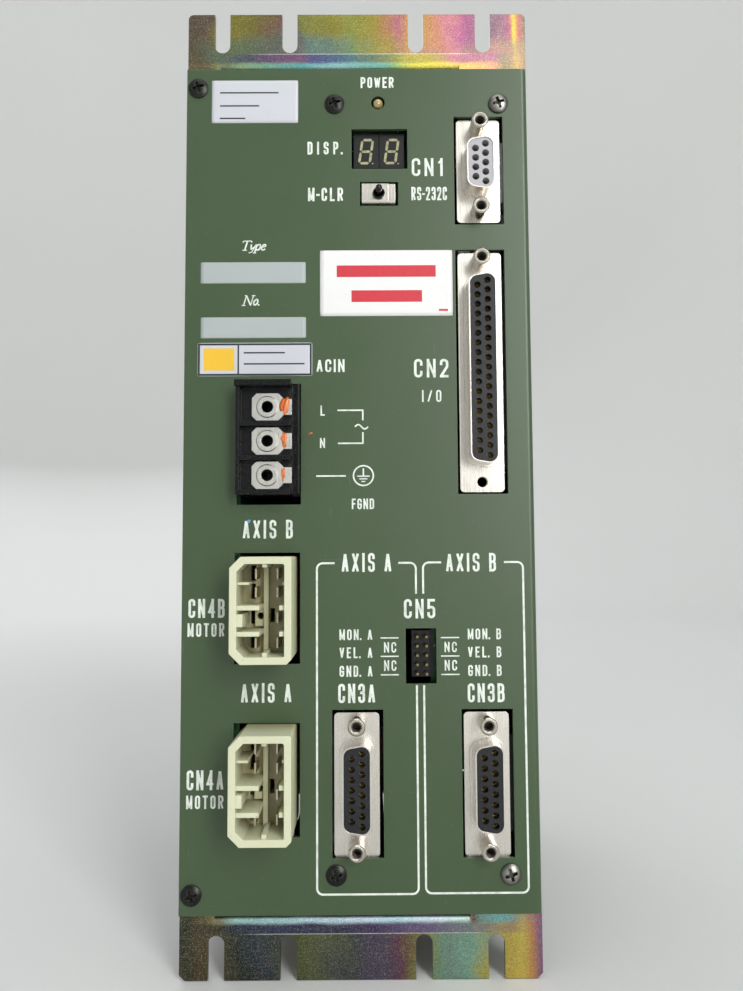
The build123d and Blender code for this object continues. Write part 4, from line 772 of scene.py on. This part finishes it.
# ------------------------------------------------------------------ labels
def label(name, x0, x1, z0, z1, thick, graph, seed, lift=0.0, corner=0.5, wave=0.012, tilt=0.0):
    """A thin adhesive label: a gently uneven sheet with a cut edge all round."""
    rnd = random.Random(seed)
    nx, nz = 28, 14
    ph = [rnd.uniform(0, 6.28) for _ in range(4)]
    bm = bmesh.new()
    cx, cz = (x0 + x1) / 2, (z0 + z1) / 2
    ct, st = math.cos(math.radians(tilt)), math.sin(math.radians(tilt))

    def place(u, w, yy):
        xx, zz = x0 + (x1 - x0) * u, z0 + (z1 - z0) * w
        dx, dz = xx - cx, zz - cz
        # round the corners of the grid
        hx, hz = (x1 - x0) / 2, (z1 - z0) / 2
        ex, ez = max(abs(dx) - (hx - corner), 0), max(abs(dz) - (hz - corner), 0)
        if ex > 0 and ez > 0:
            d = math.hypot(ex, ez)
            if d > 0:
                k = max(ex, ez) / d
                dx = math.copysign(hx - corner + ex * k, dx)
                dz = math.copysign(hz - corner + ez * k, dz)
        return at(cx + dx * ct - dz * st, yy, cz + dx * st + dz * ct)

    def height(u, w):
        v = math.sin(5 * u + ph[0]) * math.sin(4 * w + ph[1]) + 0.5 * math.sin(13 * u + 7 * w + ph[2])
        curl = max(0.0, (u - 0.93) / 0.07) * max(0.0, (w - 0.8) / 0.2) * lift
        return -(thick + wave * (0.5 + 0.33 * v) + curl)

    top = [[bm.verts.new(place(i / nx, j / nz, height(i / nx, j / nz))) for i in range(nx + 1)] for j in range(nz + 1)]
    low = [[bm.verts.new(place(i / nx, j / nz, 0.012)) for i in range(nx + 1)] for j in range(nz + 1)]
    for j in range(nz):
        for i in range(nx):
            bm.faces.new((top[j][i], top[j][i + 1], top[j + 1][i + 1], top[j + 1][i]))
            bm.faces.new((low[j][i], low[j + 1][i], low[j + 1][i + 1], low[j][i + 1]))
    ring = [(0, i) for i in range(nx)] + [(j, nx) for j in range(nz)] + [(nz, i) for i in range(nx, 0, -1)] + [(j, 0) for j in range(nz, 0, -1)]
    for k in range(len(ring)):
        (j0, i0), (j1, i1) = ring[k], ring[(k + 1) % len(ring)]
        bm.faces.new((top[j0][i0], low[j0][i0], low[j1][i1], top[j1][i1]))
    bmesh.ops.recalc_face_normals(bm, faces=bm.faces)
    me = bpy.data.meshes.new(name)
    bm.to_mesh(me)
    bm.free()
    me.materials.append(graph.m)
    for p in me.polygons:
        p.use_smooth = abs(p.normal.y) > 0.7
    o = bpy.data.objects.new(name, me)
    scene.collection.objects.link(o)
    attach(o, "driver")
    return o


def paper(name, a, b, rough, coat=0.0):
    g = Graph(name, Metallic=0.0, IOR=1.46)
    if coat:
        g.b.inputs["Coat Weight"].default_value = coat
        g.b.inputs["Coat Roughness"].default_value = 0.25
    fib = g.noise(1.0, 3.0, 0.6, vec=g.vec((900, 900, 2600)))
    tone = g.mix(g.noise(45.0, 3.0), a, b)
    tone = g.mix(g.fit(fib, 0.55, 0.8, 0, 0.10), tone, (0.45, 0.45, 0.45, 1))
    fleck = g.fit(g.noise(1900.0, 2.0), 0.72, 0.78, 0, 0.35)
    tone = g.mix(fleck, tone, (0.30, 0.29, 0.27, 1))
    g.to("Base Color", tone)
    g.to("Roughness", g.fit(fib, 0.3, 0.7, rough - 0.05, rough + 0.07))
    g.to("Normal", g.bump(fib, 0.12, 0.00004))
    return g


COOL = paper("label_paper", srgb(198, 201, 207), srgb(190, 193, 200), 0.42, 0.3)
WARM = paper("sticker_vinyl", srgb(232, 232, 231), srgb(224, 224, 223), 0.32, 0.5)
STRIP = paper("write_on_ink", srgb(168, 176, 175), srgb(161, 169, 168), 0.48)
YELLOW = paper("yellow_cell", srgb(236, 190, 48), srgb(226, 178, 38), 0.35, 0.5)


def print_ink(name, a, b):
    g = Graph(name, Metallic=0.0, IOR=1.46)
    n = g.noise(900.0, 3.0)
    g.to("Base Color", g.mix(n, a, b))
    g.to("Roughness", g.fit(n, 0.3, 0.7, 0.36, 0.48))
    return g


RED = print_ink("red_ink", srgb(205, 52, 66), srgb(190, 44, 58))
DARK = print_ink("dark_ink", srgb(36, 37, 42), srgb(52, 53, 58))

label("blank_label", 7.23, 32.32, 222.8, 235.6, 0.09, COOL, 3, 0.05, 0.25)
label("type_strip", 4.43, 34.51, 175.3, 181.48, 0.022, STRIP, 5, 0.0, 0.2, 0.004)
label("number_strip", 4.57, 34.6, 159.35, 165.42, 0.022, STRIP, 6, 0.0, 0.2, 0.004)
label("ruled_sticker", 38.61, 76.58, 165.62, 184.82, 0.10, WARM, 7, 0.08, 0.25)
label("bordered_label", 3.75, 36.39, 148.38, 157.99, 0.09, COOL, 8, 0.0, 0.3)

marks = Solid()
for z, a, b in ((231.9, 9.6, 26.6), (227.95, 9.6, 21.0), (224.2, 9.6, 17.0)):
    line(marks, [(a, z), (b, z)], 0.42, y=-0.112)
line(marks, [(4.15, 148.8), (35.95, 148.8), (35.95, 157.55), (4.15, 157.55)], 0.55, closed=True, y=-0.112)
line(marks, [(15.35, 148.8), (15.35, 157.55)], 0.45, y=-0.112)
for z, a, b in ((155.1, 16.9, 28.6), (151.9, 16.9, 34.2)):
    line(marks, [(a, z), (b, z)], 0.42, y=-0.112)
marks.make("label_rules", DARK)
cell = Solid()
cell.plate([(5.5, 150.0), (14.2, 150.0), (14.2, 156.4), (5.5, 156.4)], -0.1135, -0.05)
cell.make("label_yellow_cell", YELLOW)
red = Solid()
for z, a, b in ((178.7, 43.4, 71.8), (171.4, 47.6, 67.8)):
    line(red, [(a, z), (b, z)], 3.4, y=-0.125)
line(red, [(72.6, 167.3), (75.2, 167.3)], 0.6, y=-0.125)
red.make("sticker_red_rules", RED)


# ------------------------------------------------------------------ display segments
seg_graph = Graph("unlit_segments", Metallic=0.0, IOR=1.5, Coat_Weight=0.6, Coat_Roughness=0.2)
sn = seg_graph.noise(1300.0, 3.0)
seg_graph.to("Base Color", seg_graph.ramp(sn, [(0.3, srgb(118, 116, 84)), (0.62, srgb(178, 176, 136))]))
seg_graph.to("Roughness", seg_graph.fit(sn, 0.3, 0.7, 0.3, 0.42))
seg = Solid()
for left in (49.55, 57.0):
    w, h, t = 3.8, 7.7, 0.72
    z0 = 211.3
    lean = 0.14

    def q(px, pz):
        return (left + px + lean * pz, z0 + pz)

    gap_ = 0.20
    for zc in (t / 2, h / 2, h - t / 2):
        a, b = t / 2 + gap_, w - t / 2 - gap_
        seg.plate([q(a, zc), q(a + t / 2, zc - t / 2), q(b - t / 2, zc - t / 2), q(b, zc), q(b - t / 2, zc + t / 2), q(a + t / 2, zc + t / 2)], 1.955, 2.02)
    for xc in (t / 2, w - t / 2):
        for a, b in ((t / 2 + gap_, h / 2 - gap_), (h / 2 + gap_, h - t / 2 - gap_)):
            seg.plate([q(xc, a), q(xc + t / 2, a + t / 2), q(xc + t / 2, b - t / 2), q(xc, b), q(xc - t / 2, b - t / 2), q(xc - t / 2, a + t / 2)], 1.955, 2.02)
    dot = [(left + w + 0.55 + 0.22 * math.cos(a * math.pi / 8), z0 + 0.22 + 0.22 * math.sin(a * math.pi / 8)) for a in range(16)]
    seg.plate(dot, 1.955, 2.02)
seg.make("display_segments", seg_graph)


# ------------------------------------------------------------------ witness paint on the clamp plates
paint_graph = Graph("witness_paint", Metallic=0.0, IOR=1.5, Coat_Weight=0.5, Coat_Roughness=0.2)
pn = paint_graph.noise(700.0, 3.0)
paint_graph.to("Base Color", paint_graph.mix(pn, srgb(222, 120, 44), srgb(196, 92, 28)))
paint_graph.to("Roughness", paint_graph.fit(pn, 0.3, 0.7, 0.30, 0.42))


def blob(name, x, y, z, sx, sy, sz, seed, graph, body="driver"):
    """A dried dab of paint: a flattened, uneven drop."""
    rnd = random.Random(seed)
    bm = bmesh.new()
    bmesh.ops.create_icosphere(bm, subdivisions=3, radius=1.0)
    k = [Vector((rnd.uniform(-1, 1), rnd.uniform(-1, 1), rnd.uniform(-1, 1))).normalized() for _ in range(6)]
    for v in bm.verts:
        n = v.co.normalized()
        r = 1.0 + sum(0.14 * math.sin(3.0 * n.dot(d) * (1 + i * 0.4) + i) for i, d in enumerate(k))
        v.co = Vector((n.x * sx * r, n.y * sy * max(r, 0.6), n.z * sz * r)) / 1000 + at(x, y, z)
    me = bpy.data.meshes.new(name)
    bm.to_mesh(me)
    bm.free()
    for p in me.polygons:
        p.use_smooth = True
    me.materials.append(graph.m)
    o = bpy.data.objects.new(name, me)
    scene.collection.objects.link(o)
    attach(o, body)
    return o


for i, (zz, bx, w_, h_) in enumerate(((138.7, 29.3, 1.15, 2.5), (129.0, 28.95, 0.85, 2.1), (119.9, 28.85, 0.5, 1.7))):
    blob(f"witness_paint_{i + 1}", bx, -5.2, zz, w_, 0.30, h_, 11 + i, paint_graph)
    blob(f"witness_run_{i + 1}", bx - 0.5, -5.15, zz + h_ * 0.45, w_ * 0.6, 0.25, h_ * 0.4, 21 + i, paint_graph)

# threads inside the jack posts and a disc closing each bore; the threads are real, their near-black colour is painted
# shade in the bores
thread_shade_g = Graph("thread_painted_shade", Metallic=0.6)
tn = thread_shade_g.noise(1500.0, 3.0)
thread_shade_g.to("Base Color", thread_shade_g.mix(tn, (0.030, 0.027, 0.023, 1), (0.160, 0.145, 0.120, 1)))
thread_shade_g.to("Roughness", thread_shade_g.fit(tn, 0.3, 0.7, 0.35, 0.55))
bm = bmesh.new()
for px_, pz_ in ((84.55, 221.245), (84.55, 196.255), (84.5, 181.5), (48.6, 51.01), (48.6, 17.69), (84.55, 51.01), (84.55, 17.69)):
    turns, per, rings = 8.5, 20, []
    for k in range(int(turns * per) + 1):
        a = 2 * math.pi * k / per
        y_ = -4.35 + 0.46 * k / per
        ring = []
        for j in range(5):
            b = 2 * math.pi * j / 5
            r = 1.215 - 0.10 * math.cos(b)
            ring.append(bm.verts.new(at(px_ + r * math.cos(a), y_ + 0.20 * math.sin(b), pz_ + r * math.sin(a))))
        rings.append(ring)
    for r0, r1 in zip(rings, rings[1:]):
        for j in range(5):
            bm.faces.new((r0[j], r1[j], r1[(j + 1) % 5], r0[(j + 1) % 5]))
    bm.faces.new(rings[0])
    bm.faces.new(list(reversed(rings[-1])))
    lo_ = [bm.verts.new(at(px_ + 1.2 * math.cos(2 * math.pi * k / 20), -0.50, pz_ + 1.2 * math.sin(2 * math.pi * k / 20))) for k in range(20)]
    hi_ = [bm.verts.new(at(px_ + 1.2 * math.cos(2 * math.pi * k / 20), -0.30, pz_ + 1.2 * math.sin(2 * math.pi * k / 20))) for k in range(20)]
    bm.faces.new(lo_)
    bm.faces.new(list(reversed(hi_)))
    for k in range(20):
        bm.faces.new((lo_[k], hi_[k], hi_[(k + 1) % 20], lo_[(k + 1) % 20]))
bmesh.ops.recalc_face_normals(bm, faces=bm.faces)
me = bpy.data.meshes.new("jack_threads_painted_shade")
bm.to_mesh(me)
bm.free()
for p in me.polygons:
    p.use_smooth = len(p.vertices) == 4
me.materials.append(thread_shade_g.m)
threads = bpy.data.objects.new("jack_threads_painted_shade", me)
scene.collection.objects.link(threads)
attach(threads, "driver")

# specks of paint and dust left on the panel
blob("paint_speck_orange", 36.0, -0.02, 132.0, 0.42, 0.07, 0.25, 31, paint_graph)
blob("paint_speck_small", 35.3, -0.02, 131.6, 0.16, 0.05, 0.12, 32, paint_graph)
blue_g = Graph("blue_ink_dot", Metallic=0.0, IOR=1.5)
bn = blue_g.noise(900.0, 2.0)
blue_g.to("Base Color", blue_g.mix(bn, srgb(70, 130, 190), srgb(110, 165, 210)))
blue_g.to("Roughness", blue_g.fit(bn, 0.3, 0.7, 0.4, 0.5))
blob("ink_dot_blue", 18.55, -0.04, 107.1, 0.45, 0.06, 0.6, 33, blue_g)

# ------------------------------------------------------------------ stage
floor_g = Graph("pale_stage", Metallic=0.0, IOR=1.4, Roughness=0.85)
floor_g.to("Base Color", floor_g.mix(floor_g.noise(3.0, 3.0), (0.66, 0.665, 0.655, 1), (0.68, 0.685, 0.675, 1)))
bm = bmesh.new()
profile = [(0.0, 0.0), (0.6, 0.0), (1.1, 0.0), (1.3, 0.0)]
for i in range(1, 13):
    a = math.radians(90 * i / 12)
    profile.append((1.3 + 0.9 * math.sin(a), 0.9 - 0.9 * math.cos(a)))
profile += [(2.2, 1.6), (2.2, 2.6)]
floor_z = CAD_LO.z - 0.0002
rings = []
SEG = 96
centre = bm.verts.new((0, 0, floor_z))
for r, h in profile[1:]:
    rings.append([bm.verts.new((r * math.cos(2 * math.pi * k / SEG), r * math.sin(2 * math.pi * k / SEG), floor_z + h)) for k in range(SEG)])
for k in range(SEG):
    bm.faces.new((centre, rings[0][k], rings[0][(k + 1) % SEG]))
for a, b in zip(rings, rings[1:]):
    for k in range(SEG):
        bm.faces.new((a[k], b[k], b[(k + 1) % SEG], a[(k + 1) % SEG]))
me = bpy.data.meshes.new("stage_floor")
bm.to_mesh(me)
bm.free()
for p in me.polygons:
    p.use_smooth = True
me.materials.append(floor_g.m)
floor = bpy.data.objects.new("stage_floor", me)
scene.collection.objects.link(floor)

world = bpy.data.worlds.new("world")
scene.world = world
world.use_nodes = True
world.node_tree.nodes["Background"].inputs[0].default_value = (0.96, 0.98, 1.0, 1)
world.node_tree.nodes["Background"].inputs[1].default_value = 0.54


def area(name, loc, target, sx, sy, power, color=(1, 1, 1)):
    d = bpy.data.lights.new(name, "AREA")
    d.shape = "RECTANGLE"
    d.size, d.size_y = sx, sy
    d.energy = power
    d.color = color
    o = bpy.data.objects.new(name, d)
    scene.collection.objects.link(o)
    o.location = loc
    o.rotation_mode = "QUATERNION"
    o.rotation_quaternion = (Vector(target) - Vector(loc)).to_track_quat("-Z", "Y")
    o.visible_camera = False
    return o


area("key", (0.66, -1.28, 0.50), (0, 0, 0.02), 0.46, 1.15, 17.0, (1.0, 0.995, 0.985))
area("top", (0.1, -0.5, 1.8), (0, 0, 0), 1.4, 1.0, 6.0, (0.97, 0.985, 1.0))
area("rear", (-0.6, 1.5, 0.9), (0, 0, 0), 1.4, 1.2, 8.0, (0.97, 0.985, 1.0))
for k in range(6):
    # the stage's own wash, the same on every side
    a = math.radians(60 * k + 30)
    area(f"wash_{k}", (0.55 * math.cos(a), 0.55 * math.sin(a), 1.9), (2.2 * math.cos(a), 2.2 * math.sin(a), 1.75), 0.6, 0.3, 4.5)

scene.view_settings.view_transform = "Standard"
scene.view_settings.look = "None"
scene.view_settings.exposure = 0.0
scene.view_settings.gamma = 1.0
